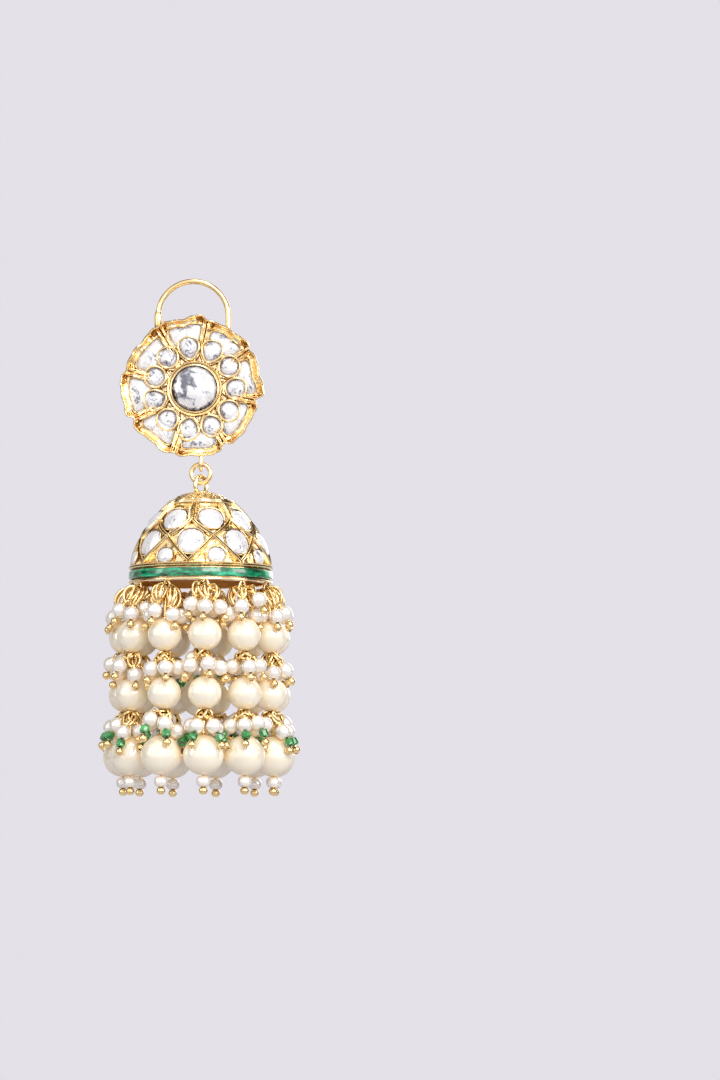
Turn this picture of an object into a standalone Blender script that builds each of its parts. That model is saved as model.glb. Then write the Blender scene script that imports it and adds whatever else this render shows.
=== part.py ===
# Jhumka earring: an ear wire, a flower stud, a jump ring and a bell hung with strings of pearls.
# Metres, +Z up, the front towards -Y. The origin is the underside of the ear wire's arc,
# where an ear lobe carries it.

import math

import bmesh
import bpy
from mathutils import Vector

mm = 0.001

# Clear space between separate pieces
piece_gap = 0.3 * mm

# Ear wire
ear_wire_diameter = 1.05 * mm
ear_wire_width = 14.6 * mm
lobe_space = 6.6 * mm
catch_tube_diameter = 1.4 * mm
catch_tube_rise = 0.7 * mm
catch_tube_length = 4.2 * mm
keeper_wall = 0.45 * mm
keeper_length = 5.0 * mm
keeper_height_share = 0.72

# Flower stud
flower_radius = 14.1 * mm
flower_shift = 0.44 * mm
back_plate_thickness = 0.9 * mm
petal_rim_height = 2.6 * mm
petal_rim_wall = 0.5 * mm
centre_stone_diameter = 8.4 * mm
centre_stone_height = 2.9 * mm
bezel_wall = 0.6 * mm
bezel_height = 2.1 * mm
small_bezel_circle = 7.9 * mm
small_bezel_diameter = 4.1 * mm
small_bezel_height = 1.5 * mm
small_bezel_count = 11
small_bezel_start_deg = 98.1

# Loops and jump ring between the flower and the bell
link_wire_diameter = 0.75 * mm
jump_ring_wire_diameter = 0.85 * mm
jump_ring_opening = 2.9 * mm
bell_loop_opening = 2.5 * mm
flower_loop_drop = 1.2 * mm
drop_shift = 1.65 * mm

# Pearls, in the order that they hang
upper_pearl_diameter = 6.4 * mm
middle_pearl_diameter = 6.4 * mm
lower_pearl_diameter = 7.7 * mm
pearl_spacing_gap = 0.6 * mm
strand_count = 11
first_strand_deg = 6.0

# Bell
bell_height = 15.0 * mm
bell_wall = 0.8 * mm
hollow_wall_share = 1.3
bell_step = 0.34 * mm
band_inset = 0.93 * mm
band_height = 1.6 * mm
band_thickness = 0.6 * mm
lip_height = 0.45 * mm

# Strings below the bell
strand_wire_diameter = 0.5 * mm
rim_loop_wire_diameter = 0.55 * mm
rim_loop_drop = 2.0 * mm
rim_loop_shift = 0.2 * mm
neck_share = 1.2
bunch_height = 4.3 * mm
bunch_cup_rise = 0.5 * mm
side_lobe_deg = 108
ball_reach_share = 0.8
strand_link = 0.35 * mm
upper_flare = 0.35 * mm
gold_ball_diameter = 1.4 * mm
end_bead_diameter = 2.5 * mm
end_bead_height = 1.5 * mm
sway_room = 0.7 * mm

# Centre string inside the bell
centre_upper_pearl_diameter = 6.0 * mm
centre_lower_pearl_diameter = 7.6 * mm
centre_wire_length = 14.2 * mm
centre_link_length = 11.4 * mm

# Faces round each kind of shape
arc_steps = 18
ear_wire_sides = 8
petal_steps = 7
keeper_sides = 12
stone_sides = 16
bell_sides = 33
jump_ring_steps = 16
bell_loop_steps = 12
loop_steps = 10
hook_steps = 8
wire_sides = 6
thin_wire_sides = 4
string_sides = 10
pearl_sides = 10
pearl_rows = 5

# Petals anticlockwise: angle from the right where each starts, and the outline at that notch
# and at the petal's corners as shares of the flower's radius
petal_sections = (
    (79.4, 0.960, 1.020),
    (120.5, 0.985, 1.010),
    (165.3, 0.970, 1.035),
    (206.8, 0.935, 0.990),
    (251.8, 0.935, 0.965),
    (298.0, 0.865, 0.930),
    (349.1, 0.850, 0.960),
    (395.6, 0.925, 0.980),
)
petal_middle_dip = 0.03
petal_shoulder = 2.4
petal_floor_share = 0.88
back_edge_share = 0.965

# Centre stone: radius and height shares from its girdle's underside to its top
centre_stone_sections = (
    (0.90, 0.00),
    (1.00, 0.12),
    (1.00, 0.55),
    (0.86, 0.80),
    (0.55, 0.96),
    (0.20, 1.00),
)

# Bell outline: height over its rim and radius, as shares of its height and rim radius
bell_outline = (
    (1.000, 0.070),
    (0.985, 0.200),
    (0.930, 0.330),
    (0.825, 0.495),
    (0.720, 0.610),
    (0.600, 0.715),
    (0.480, 0.805),
    (0.360, 0.870),
    (0.177, 0.957),
    (0.000, 1.000),
)

# A bunch of seed pearls on wire loops, top to bottom: height over the pearl as a share of
# bunch_height, then the reach of its lobes, of its hollows and of its gold balls as shares
bunch_sections = (
    (1.00, 0.07, 0.07, 0.0),
    (0.80, 0.38, 0.32, 0.0),
    (0.50, 0.54, 0.42, 0.0),
    (0.21, 1.00, 0.56, 0.3),
    (-0.10, 0.96, 0.60, 1.0),
)

# End bead and gold ball: depth as a share of the bead and then of the ball, and radius share
end_bead_sections = ((0.0, 0.45), (0.25, 0.92), (0.65, 1.0), (1.0, 0.50))
end_ball_sections = ((0.30, 0.94), (0.70, 0.94), (1.0, 0.40))

# How far each string turns about the bell from its even place, in degrees, at its upper,
# middle and lower pearl
strand_sway_deg = (
    (-0.5, -0.5, -1.4),
    (-1.8, -0.8, -1.9),
    (-1.0, -1.8, 0.8),
    (0.4, -0.6, 0.8),
    (0.9, 0.4, -0.4),
    (-0.6, 0.8, 0.6),
    (0.4, -0.7, 0.9),
    (-0.7, 0.5, -0.6),
    (0.5, -0.5, -0.6),
    (0.4, -1.8, -1.8),
    (0.9, 0.8, -0.9),
)

# Ear wire, flower and link places
ear_wire_radius = ear_wire_diameter / 2
leg_offset = (ear_wire_width - ear_wire_diameter) / 2
arc_centre_z = ear_wire_radius - leg_offset
flower_x = flower_shift
flower_z = -(lobe_space + flower_radius)
plate_back_y = -(catch_tube_diameter / 2 + piece_gap)
keeper_top_z = flower_z + keeper_height_share * flower_radius
drop_x = drop_shift
flower_loop_opening = jump_ring_wire_diameter + 2 * piece_gap
flower_loop_radius = (flower_loop_opening + link_wire_diameter) / 2
lowest_petal_share = petal_sections[4][2] * (1 - petal_middle_dip)
drop_y = plate_back_y - flower_loop_radius
flower_loop_z = flower_z - lowest_petal_share * flower_radius - flower_loop_drop
jump_ring_radius = (jump_ring_opening + jump_ring_wire_diameter) / 2
jump_ring_z = flower_loop_z - jump_ring_radius
ring_bottom_z = jump_ring_z - jump_ring_radius
bell_loop_hole_top = ring_bottom_z + jump_ring_wire_diameter / 2 + piece_gap
bell_loop_z = bell_loop_hole_top - bell_loop_opening / 2

# Bell places
strand_pitch = lower_pearl_diameter + pearl_spacing_gap
strand_circle = strand_pitch / (2 * math.sin(math.pi / strand_count))
band_radius = strand_circle - band_inset
rim_radius = band_radius - bell_step
apex_z = bell_loop_z - bell_loop_opening / 2
rim_z = apex_z - bell_height
groove_radius = band_radius - band_thickness - piece_gap
groove_bottom_z = rim_z - band_height - 2 * piece_gap
lip_bottom_z = groove_bottom_z - lip_height
mouth_radius = groove_radius - bell_wall

# String places
strand_wire_radius = strand_wire_diameter / 2
bore_radius = strand_wire_radius + piece_gap
rim_loop_wire_radius = rim_loop_wire_diameter / 2
hook_radius = rim_loop_wire_radius + piece_gap + strand_wire_radius
rim_loop_radius = (mouth_radius + band_radius) / 2 + rim_loop_shift
strand_top_z = lip_bottom_z - rim_loop_drop


def clear_scene():
    for item in list(bpy.data.objects):
        bpy.data.objects.remove(item, do_unlink=True)


def finish_material(name, colour, roughness, metallic):
    material = bpy.data.materials.new(name)
    material.use_nodes = True
    shader = material.node_tree.nodes["Principled BSDF"]
    shader.inputs["Base Color"].default_value = (*colour, 1.0)
    shader.inputs["Roughness"].default_value = roughness
    shader.inputs["Metallic"].default_value = metallic
    return material


def loft(name, rings, closed=False):
    """Skin rings of points with equal counts, with flat ends or joined end to end."""
    shape = bmesh.new()
    rows = [[shape.verts.new(point) for point in ring] for ring in rings]
    pairs = list(zip(rows, rows[1:]))
    if closed:
        pairs.append((rows[-1], rows[0]))
    for first, second in pairs:
        for index in range(len(first)):
            after = (index + 1) % len(first)
            shape.faces.new((first[index], first[after], second[after], second[index]))
    if not closed:
        shape.faces.new(rows[0])
        shape.faces.new(rows[-1])
    bmesh.ops.recalc_face_normals(shape, faces=shape.faces)
    mesh = bpy.data.meshes.new(name)
    shape.to_mesh(mesh)
    shape.free()
    return mesh


def add_piece(name, mesh, material):
    piece = bpy.data.objects.new(name, mesh)
    bpy.context.scene.collection.objects.link(piece)
    mesh.shade_smooth()
    mesh.set_sharp_from_angle(angle=math.radians(40))
    mesh.materials.clear()
    mesh.materials.append(material)
    return piece


def weld(name, meshes):
    """Union of overlapping shapes as one mesh."""
    helpers = []
    for mesh in meshes:
        helper = bpy.data.objects.new(name + "_shape", mesh)
        bpy.context.scene.collection.objects.link(helper)
        helpers.append(helper)
    body = helpers[0]
    for helper in helpers[1:]:
        joint = body.modifiers.new("weld", "BOOLEAN")
        joint.operation = "UNION"
        joint.object = helper
        joint.solver = "EXACT"
    view = bpy.context.evaluated_depsgraph_get()
    mesh = bpy.data.meshes.new_from_object(body.evaluated_get(view))
    mesh.name = name
    for helper in helpers:
        bpy.data.objects.remove(helper, do_unlink=True)
    return mesh


def ring_points(centre, first_axis, second_axis, radius, count):
    points = []
    for step in range(count):
        angle = 2 * math.pi * step / count
        offset = math.cos(angle) * first_axis + math.sin(angle) * second_axis
        points.append(centre + radius * offset)
    return points


def bent_wire(name, route, radii, flat_axis, sides, closed=False):
    """A round wire along a route that lies in one plane, square to flat_axis."""
    rings = []
    last = len(route) - 1
    for index, (point, radius) in enumerate(zip(route, radii)):
        before = route[index - 1] if index > 0 or closed else point
        after = route[(index + 1) % len(route)] if index < last or closed else point
        along = (after - before).normalized()
        across = flat_axis.cross(along)
        rings.append(ring_points(point, flat_axis, across, radius, sides))
    return loft(name, rings, closed)


def round_loop(name, centre, radius, wire_radius, flat_axis, steps=loop_steps, sides=wire_sides):
    first_axis = flat_axis.orthogonal().normalized()
    route = ring_points(centre, first_axis, flat_axis.cross(first_axis), radius, steps)
    return bent_wire(name, route, [wire_radius] * steps, flat_axis, sides, closed=True)


def staple(name, top, drop, width_axis, bend_radius, wire_radius, sides=thin_wire_sides):
    """A U of wire whose two legs start at a height inside the metal that it is soldered to."""
    flat_axis = width_axis.cross(Vector((0, 0, 1)))
    down = Vector((0, 0, -1))
    turn = top + (drop - bend_radius) * down
    route = [top - bend_radius * width_axis]
    steps = loop_steps // 2
    for step in range(steps + 1):
        angle = math.pi * step / steps
        swing = math.sin(angle) * down - math.cos(angle) * width_axis
        route.append(turn + bend_radius * swing)
    route.append(top + bend_radius * width_axis)
    return bent_wire(name, route, [wire_radius] * len(route), flat_axis, sides)


def turned(name, outline, centre, sides, closed=False):
    """Turn an outline of radius and height pairs about a vertical axis."""
    x_axis = Vector((1, 0, 0))
    y_axis = Vector((0, 1, 0))
    rings = []
    for radius, height in outline:
        middle = centre + Vector((0, 0, height))
        rings.append(ring_points(middle, x_axis, y_axis, radius, sides))
    return loft(name, rings, closed)


def make_ear_wire(gold):
    """The arc over the lobe with two legs down behind the flower, the left one in a tube."""
    leg_end_z = keeper_top_z - keeper_length + piece_gap
    tube_radius = catch_tube_diameter / 2
    tube_top_z = arc_centre_z + catch_tube_rise
    tube_end_z = tube_top_z - catch_tube_length
    x_axis = Vector((1, 0, 0))
    y_axis = Vector((0, 1, 0))
    left_leg = (
        (leg_end_z, ear_wire_radius),
        (tube_end_z, ear_wire_radius),
        (tube_end_z, tube_radius),
        (tube_top_z, tube_radius),
        (tube_top_z, ear_wire_radius),
    )
    rings = []
    for height, radius in left_leg:
        centre = Vector((-leg_offset, 0, height))
        rings.append(ring_points(centre, y_axis, x_axis, radius, ear_wire_sides))
    arc_span = math.pi - math.asin((catch_tube_rise + ear_wire_radius) / leg_offset)
    for step in range(arc_steps + 1):
        angle = arc_span * (1 - step / arc_steps)
        outward = Vector((math.cos(angle), 0, math.sin(angle)))
        centre = Vector((0, 0, arc_centre_z)) + leg_offset * outward
        rings.append(ring_points(centre, y_axis, -outward, ear_wire_radius, ear_wire_sides))
    right_end = Vector((leg_offset, 0, leg_end_z))
    rings.append(ring_points(right_end, y_axis, -x_axis, ear_wire_radius, ear_wire_sides))
    return add_piece("ear_wire", loft("ear_wire", rings), gold)


def petal_outline():
    """Angle, radius share and notch closeness of each step round the flower."""
    rows = []
    for index, (start, start_share, corner_share) in enumerate(petal_sections):
        end, end_share = petal_sections[(index + 1) % len(petal_sections)][:2]
        span = (end - start) % 360
        for step in range(petal_steps):
            across = step / petal_steps
            arch = math.sin(math.pi * across)
            notch_share = start_share + (end_share - start_share) * across
            petal_share = corner_share * (1 - petal_middle_dip * arch ** 2)
            share = notch_share + (petal_share - notch_share) * min(1.0, petal_shoulder * arch)
            rows.append((math.radians(start + span * across), share, step == 0))
    return rows


def flower_body():
    """Back plate, centre bezel, ring of small bezels and eight turned-up petals in one skin."""
    seat_radius = centre_stone_diameter / 2 + piece_gap
    bezel_radius = seat_radius + bezel_wall
    ring_inner = small_bezel_circle - small_bezel_diameter / 2
    ring_outer = small_bezel_circle + small_bezel_diameter / 2
    ring_crest = small_bezel_diameter / 4
    floor = back_plate_thickness + piece_gap
    crest = back_plate_thickness + small_bezel_height
    top = back_plate_thickness + petal_rim_height
    round_rows = (
        (seat_radius, back_plate_thickness),
        (seat_radius, back_plate_thickness + bezel_height),
        (bezel_radius, back_plate_thickness + bezel_height),
        (bezel_radius, floor),
        (ring_inner, floor),
        (small_bezel_circle - ring_crest, crest),
        (small_bezel_circle + ring_crest, crest),
        (ring_outer, floor),
    )
    # Petal rows: share of the outline, inset from it, and height on a petal and at a notch
    petal_rows = (
        (petal_floor_share, 0.0, floor, top - petal_rim_wall),
        (1.00, petal_rim_wall, top, top),
        (1.00, 0.0, top, top),
        (back_edge_share, 0.0, 0.0, 0.0),
    )
    outline = petal_outline()
    rings = []
    for radius, height in round_rows:
        ring = []
        for angle, share, notch in outline:
            turn = (angle - math.radians(small_bezel_start_deg)) * small_bezel_count / 2
            dip = (1 - abs(math.cos(turn))) * (crest - floor) / 2 if height == crest else 0.0
            ring.append(flower_point(angle, radius, height - dip))
        rings.append(ring)
    for part, inset, height, notch_height in petal_rows:
        ring = []
        for angle, share, notch in outline:
            radius = part * share * flower_radius - inset
            ring.append(flower_point(angle, radius, notch_height if notch else height))
        rings.append(ring)
    return loft("flower_body", rings)


def flower_point(angle, radius, height):
    x = flower_x + radius * math.cos(angle)
    z = flower_z + radius * math.sin(angle)
    return Vector((x, plate_back_y - height, z))


def keeper(side):
    """A short tube on the back plate, open at the top, that a leg of the ear wire stands in."""
    bore = ear_wire_radius + piece_gap
    outer = bore + keeper_wall
    bottom = -keeper_length - keeper_wall
    outline = ((bore, 0.0), (outer, 0.0), (outer, bottom), (bore, bottom))
    centre = Vector((side * leg_offset, 0, keeper_top_z))
    return turned("keeper", outline, centre, keeper_sides, closed=True)


def make_stud(gold):
    root = Vector((drop_x, drop_y, flower_loop_z + 2 * flower_loop_drop))
    drop = 2 * flower_loop_drop + flower_loop_radius
    wire = link_wire_diameter / 2
    y_axis = Vector((0, 1, 0))
    loop = staple("flower_loop", root, drop, y_axis, flower_loop_radius, wire, wire_sides)
    mesh = weld("stud_flower", [flower_body(), keeper(-1), keeper(1), loop])
    return add_piece("stud_flower", mesh, gold)


def make_centre_stone(stone):
    """A domed round stone that stands in the centre bezel."""
    radius = centre_stone_diameter / 2
    seat_y = plate_back_y - back_plate_thickness - piece_gap
    x_axis = Vector((1, 0, 0))
    z_axis = Vector((0, 0, 1))
    rings = []
    for radius_share, height_share in centre_stone_sections:
        middle = Vector((flower_x, seat_y - height_share * centre_stone_height, flower_z))
        rings.append(ring_points(middle, x_axis, z_axis, radius_share * radius, stone_sides))
    return add_piece("centre_stone", loft("centre_stone", rings), stone)


def make_jump_ring(gold):
    centre = Vector((drop_x, drop_y, jump_ring_z))
    wire_radius = jump_ring_wire_diameter / 2
    y_axis = Vector((0, 1, 0))
    mesh = round_loop("jump_ring", centre, jump_ring_radius, wire_radius, y_axis, jump_ring_steps)
    return add_piece("jump_ring", mesh, gold)


def bell_shell():
    """The bell's skin: outside, groove for the enamel band, lip, and the hollow inside."""
    outside = [(share * rim_radius, rim_z + part * bell_height) for part, share in bell_outline]
    groove = [
        (groove_radius, rim_z),
        (groove_radius, groove_bottom_z),
        (band_radius, groove_bottom_z),
        (band_radius, lip_bottom_z),
        (mouth_radius, lip_bottom_z),
    ]
    hollow_height = bell_height - bell_wall
    hollow_radius = rim_radius - hollow_wall_share * bell_wall
    inside = []
    for part, share in reversed(bell_outline[::2]):
        inside.append((share * hollow_radius, rim_z + part * hollow_height))
    axis = Vector((drop_x, drop_y, 0))
    return turned("bell", outside + groove + inside, axis, bell_sides)


def strand_directions(turn_deg):
    """Outward and sideways axes at an angle round the bell, counted from the front."""
    angle = math.radians(turn_deg)
    outward = Vector((math.sin(angle), -math.cos(angle), 0))
    sideways = Vector((math.cos(angle), math.sin(angle), 0))
    return outward, sideways


def strand_angle(index):
    return first_strand_deg + 360 * index / strand_count


def strand_point(turn_deg, radius, height):
    outward = strand_directions(turn_deg)[0]
    return Vector((drop_x, drop_y, height)) + radius * outward


def make_bell(gold):
    """The bell with its top loop, the loops under its rim and the staple inside its top."""
    loop_centre = Vector((drop_x, drop_y, bell_loop_z))
    loop_radius = (bell_loop_opening + link_wire_diameter) / 2
    x_axis = Vector((1, 0, 0))
    wire = link_wire_diameter / 2
    top_loop = round_loop("bell_loop", loop_centre, loop_radius, wire, x_axis, bell_loop_steps)
    parts = [bell_shell(), top_loop]
    inner_top = Vector((drop_x, drop_y, apex_z - bell_wall / 2))
    drop = centre_hook_drop()
    parts.append(staple("centre_staple", inner_top, drop, x_axis, hook_radius, rim_loop_wire_radius))
    for index in range(strand_count):
        turn = strand_angle(index)
        top = strand_point(turn, rim_loop_radius, lip_bottom_z + lip_height / 2)
        drop = rim_loop_drop + lip_height / 2
        sideways = strand_directions(turn)[1]
        parts.append(staple("rim_loop", top, drop, sideways, hook_radius, rim_loop_wire_radius))
    return add_piece("bell", weld("bell", parts), gold)


def centre_hook_drop():
    return bell_wall / 2 + 2 * hook_radius + 2 * piece_gap


def make_enamel_band(enamel):
    top = rim_z - piece_gap
    bottom = top - band_height
    inner = band_radius - band_thickness
    outline = ((inner, top), (band_radius, top), (band_radius, bottom), (inner, bottom))
    mesh = turned("enamel_band", outline, Vector((drop_x, drop_y, 0)), bell_sides, closed=True)
    return add_piece("enamel_band", mesh, enamel)


def pearl_mesh(name, diameter, centre):
    """A drilled ball: its round outside and the bore that the wire runs through."""
    radius = diameter / 2
    start = math.asin(bore_radius / radius)
    outline = []
    for row in range(pearl_rows + 1):
        angle = start + (math.pi - 2 * start) * row / pearl_rows
        outline.append((radius * math.sin(angle), radius * math.cos(angle)))
    return turned(name, outline, centre, pearl_sides, closed=True)


def lobe_ring(centre, outward, sideways, reaches, floor):
    """Ten points round a wire, with lobes to the front, sides and back, and hollows between."""
    front, side, back, hollow = reaches
    around = (hollow, front, hollow, side, hollow, back, hollow, side, hollow, front)
    points = []
    for index, reach in enumerate(around):
        angle = 2 * math.pi * index / len(around)
        radius = max(reach, floor)
        direction = math.cos(angle) * outward + math.sin(angle) * sideways
        points.append(centre + radius * direction)
    return points


def bunch_rings(pearl_centre, pearl_radius, pitch, axes):
    """Rings of the bunch that sits on a pearl, and of the wire that leads on into the pearl."""
    outward, sideways = axes
    ball_reach = pearl_radius + ball_reach_share * gold_ball_diameter
    side_reach = (pitch - sway_room - piece_gap) / 2 / math.sin(math.radians(side_lobe_deg))
    clear = pearl_radius + piece_gap
    rings = []
    for rise, lobe, hollow, ball in bunch_sections:
        height = pearl_radius + rise * bunch_height
        floor = math.sqrt(max(0.0, clear ** 2 - height ** 2))
        front = lobe * side_reach + ball * (ball_reach - side_reach)
        reaches = (front, lobe * side_reach, lobe * side_reach, hollow * side_reach)
        centre = pearl_centre + Vector((0, 0, height))
        rings.append(lobe_ring(centre, outward, sideways, reaches, floor))
    inside_height = pearl_radius + bunch_cup_rise
    rings.append(plain_ring(pearl_centre + Vector((0, 0, inside_height)), strand_wire_radius, axes))
    rings.append(plain_ring(pearl_centre - Vector((0, 0, pearl_radius)), strand_wire_radius, axes))
    return rings


def plain_ring(centre, radius, axes):
    outward, sideways = axes
    return ring_points(centre, outward, sideways, radius, string_sides)


def end_rings(pearl_centre, pearl_radius, axes):
    """The white bead and the gold ball that end a string."""
    rings = []
    height = -(pearl_radius + piece_gap)
    for depth, share in end_bead_sections:
        centre = pearl_centre + Vector((0, 0, height - depth * end_bead_height))
        rings.append(plain_ring(centre, share * end_bead_diameter / 2, axes))
    height -= end_bead_height
    for depth, share in end_ball_sections:
        centre = pearl_centre + Vector((0, 0, height - depth * gold_ball_diameter))
        rings.append(plain_ring(centre, share * gold_ball_diameter / 2, axes))
    return rings


def pearl_heights():
    """Centre heights of the upper, middle and lower pearl of an outer string."""
    upper = strand_top_z - hook_radius - bunch_height - upper_pearl_diameter / 2
    step = strand_link + bunch_height
    middle = upper - (upper_pearl_diameter + middle_pearl_diameter) / 2 - step
    lower = middle - (middle_pearl_diameter + lower_pearl_diameter) / 2 - step
    return upper, middle, lower


def make_strand(index, gold, pearl):
    """One outer string: a hooked wire with three pearls, a bunch over each, and end beads."""
    number = f"{index + 1:02d}"
    turn = strand_angle(index)
    axes = strand_directions(turn)
    diameters = (upper_pearl_diameter, middle_pearl_diameter, lower_pearl_diameter)
    radii = (strand_circle - upper_flare, strand_circle - upper_flare, strand_circle)
    names = ("upper_pearl_", "middle_pearl_", "lower_pearl_")
    hook_centre = strand_point(turn, rim_loop_radius, strand_top_z)
    neck = hook_centre - Vector((0, 0, hook_radius))
    rings = [plain_ring(neck, neck_share * strand_wire_radius, axes)]
    for tier, height in enumerate(pearl_heights()):
        place = strand_point(turn + strand_sway_deg[index][tier], radii[tier], height)
        pitch = 2 * radii[tier] * math.sin(math.pi / strand_count)
        bunch = bunch_rings(place, diameters[tier] / 2, pitch, axes)
        rings += bunch[1:] if tier == 0 else bunch
        name = names[tier] + number
        add_piece(name, pearl_mesh(name, diameters[tier], place), pearl)
    rings += end_rings(place, diameters[2] / 2, axes)
    name = "strand_wire_" + number
    return add_piece(name, weld(name, [loft("string", rings), hook_loop(hook_centre, axes)]), gold)


def hook_loop(centre, axes):
    wire = strand_wire_radius
    return round_loop("hook", centre, hook_radius, wire, axes[1], hook_steps, thin_wire_sides)


def make_centre_string(gold, pearl):
    """The string inside the bell: two pearls, with a bunch over the lower one."""
    axes = strand_directions(0)
    hook_z = apex_z - bell_wall / 2 - centre_hook_drop()
    hook_centre = Vector((drop_x, drop_y, hook_z))
    upper_z = hook_z - hook_radius - centre_wire_length - centre_upper_pearl_diameter / 2
    upper_place = Vector((drop_x, drop_y, upper_z))
    half_sum = (centre_upper_pearl_diameter + centre_lower_pearl_diameter) / 2
    lower_z = upper_z - half_sum - centre_link_length
    lower_place = Vector((drop_x, drop_y, lower_z))
    start = hook_centre - Vector((0, 0, hook_radius))
    rings = [plain_ring(start, strand_wire_radius, axes)]
    rings += bunch_rings(lower_place, centre_lower_pearl_diameter / 2, strand_pitch, axes)
    rings += end_rings(lower_place, centre_lower_pearl_diameter / 2, axes)
    parts = [loft("string", rings), hook_loop(hook_centre, axes)]
    add_piece("centre_wire", weld("centre_wire", parts), gold)
    upper = pearl_mesh("centre_pearl_upper", centre_upper_pearl_diameter, upper_place)
    add_piece("centre_pearl_upper", upper, pearl)
    lower = pearl_mesh("centre_pearl_lower", centre_lower_pearl_diameter, lower_place)
    add_piece("centre_pearl_lower", lower, pearl)


def main():
    clear_scene()
    gold = finish_material("gold", (0.86, 0.62, 0.28), 0.28, 1.0)
    stone = finish_material("stone", (0.90, 0.90, 0.92), 0.10, 0.0)
    pearl = finish_material("pearl", (0.92, 0.84, 0.66), 0.25, 0.0)
    enamel = finish_material("enamel", (0.01, 0.36, 0.20), 0.15, 0.0)
    make_ear_wire(gold)
    make_stud(gold)
    make_centre_stone(stone)
    make_jump_ring(gold)
    make_bell(gold)
    make_enamel_band(enamel)
    for index in range(strand_count):
        make_strand(index, gold, pearl)
    make_centre_string(gold, pearl)


main()
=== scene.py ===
# Jhumka earring: flower stud on an ear wire, jump ring, latticed bell and strings of pearls
import math
import random

import bmesh
import bpy
import numpy as np
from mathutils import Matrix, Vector, noise


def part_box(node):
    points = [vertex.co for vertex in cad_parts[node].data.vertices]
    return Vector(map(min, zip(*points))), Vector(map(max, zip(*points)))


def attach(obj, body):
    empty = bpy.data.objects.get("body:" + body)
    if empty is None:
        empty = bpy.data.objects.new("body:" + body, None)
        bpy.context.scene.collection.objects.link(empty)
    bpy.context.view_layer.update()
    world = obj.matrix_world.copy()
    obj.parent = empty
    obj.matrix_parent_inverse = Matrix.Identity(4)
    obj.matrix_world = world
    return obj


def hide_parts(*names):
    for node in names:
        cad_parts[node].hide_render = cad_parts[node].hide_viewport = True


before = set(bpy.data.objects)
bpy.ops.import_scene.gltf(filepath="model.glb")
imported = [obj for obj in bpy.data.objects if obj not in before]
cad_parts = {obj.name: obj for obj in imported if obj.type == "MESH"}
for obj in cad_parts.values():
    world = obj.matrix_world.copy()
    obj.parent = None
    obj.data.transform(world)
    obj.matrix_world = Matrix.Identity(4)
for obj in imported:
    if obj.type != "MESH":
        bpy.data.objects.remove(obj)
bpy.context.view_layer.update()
mm = 0.001
xAxis, yAxis, zAxis = Vector((1, 0, 0)), Vector((0, 1, 0)), Vector((0, 0, 1))
toFront = Vector((0, -1, 0))


# Materials: a socket that takes arithmetic, and the one way to any other node

class Shade:
    def __init__(self, tree, socket=None):
        self.tree = tree
        self.socket = socket

    def feed(self, target, value):
        if isinstance(value, Shade):
            self.tree.links.new(value.socket, target)
        else:
            target.default_value = value

    def node(self, kind, settings=None, values=None, output=0):
        made = self.tree.nodes.new(kind)
        for name, value in (settings or {}).items():
            if name == "stops":
                ramp = made.color_ramp
                while len(ramp.elements) < len(value):
                    ramp.elements.new(0.5)
                for stop, (place, colour) in zip(ramp.elements, value):
                    stop.position = place
                    stop.color = (*colour, 1.0)
            else:
                setattr(made, name, value)
        for name, value in (values or {}).items():
            self.feed(made.inputs[name], value)
        return Shade(self.tree, made.outputs[output])

    def maths(self, operation, first, second):
        return self.node("ShaderNodeMath", {"operation": operation}, {0: first, 1: second})

    def __add__(self, other):
        return self.maths("ADD", self, other)

    def __radd__(self, other):
        return self.maths("ADD", other, self)

    def __sub__(self, other):
        return self.maths("SUBTRACT", self, other)

    def __rsub__(self, other):
        return self.maths("SUBTRACT", other, self)

    def __mul__(self, other):
        return self.maths("MULTIPLY", self, other)

    def __rmul__(self, other):
        return self.maths("MULTIPLY", other, self)

    def blend(self, factor, first, second):
        # Colours are given as three values, or as the output of another node
        first, second = [colour if isinstance(colour, Shade) else (*colour, 1.0)
                         for colour in (first, second)]
        links = {0: factor, 6: first, 7: second}
        return self.node("ShaderNodeMix", {"data_type": "RGBA"}, links, 2)

    def place(self, output="Object"):
        return self.node("ShaderNodeTexCoord", output=output)

    def part(self, vector, name):
        return self.node("ShaderNodeSeparateXYZ", {}, {"Vector": vector}, name)

    def noise(self, scale, detail=3.0, roughness=0.5, where=None):
        links = {"Vector": where or self.place(), "Scale": scale, "Detail": detail,
                 "Roughness": roughness}
        return self.node("ShaderNodeTexNoise", {}, links, "Fac")

    def ramp(self, value, stops):
        return self.node("ShaderNodeValToRGB", {"stops": stops}, {"Fac": value})

    def fade(self, value, start, end):
        # Black up to start, white from end on
        return self.ramp(value, ((start, (0, 0, 0)), (end, (1, 1, 1))))

    def hollows(self, reach):
        # 1 in the open, falling to 0 deep in a crevice
        return self.node("ShaderNodeAmbientOcclusion", {"samples": 8}, {"Distance": reach}, "AO")

    def bump(self, height, depth, strength):
        links = {"Height": height, "Distance": depth, "Strength": strength}
        return self.node("ShaderNodeBump", {}, links, "Normal")


def newMaterial(name, constants):
    material = bpy.data.materials.new(name)
    material.use_nodes = True
    shader = material.node_tree.nodes["Principled BSDF"]
    shade = Shade(material.node_tree)

    def finish(links):
        # Links the shader's sockets to nodes, or sets them to plain values
        for socket, value in links.items():
            shade.feed(shader.inputs[socket], value)
        return material

    finish(constants)
    return shade, finish


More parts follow.
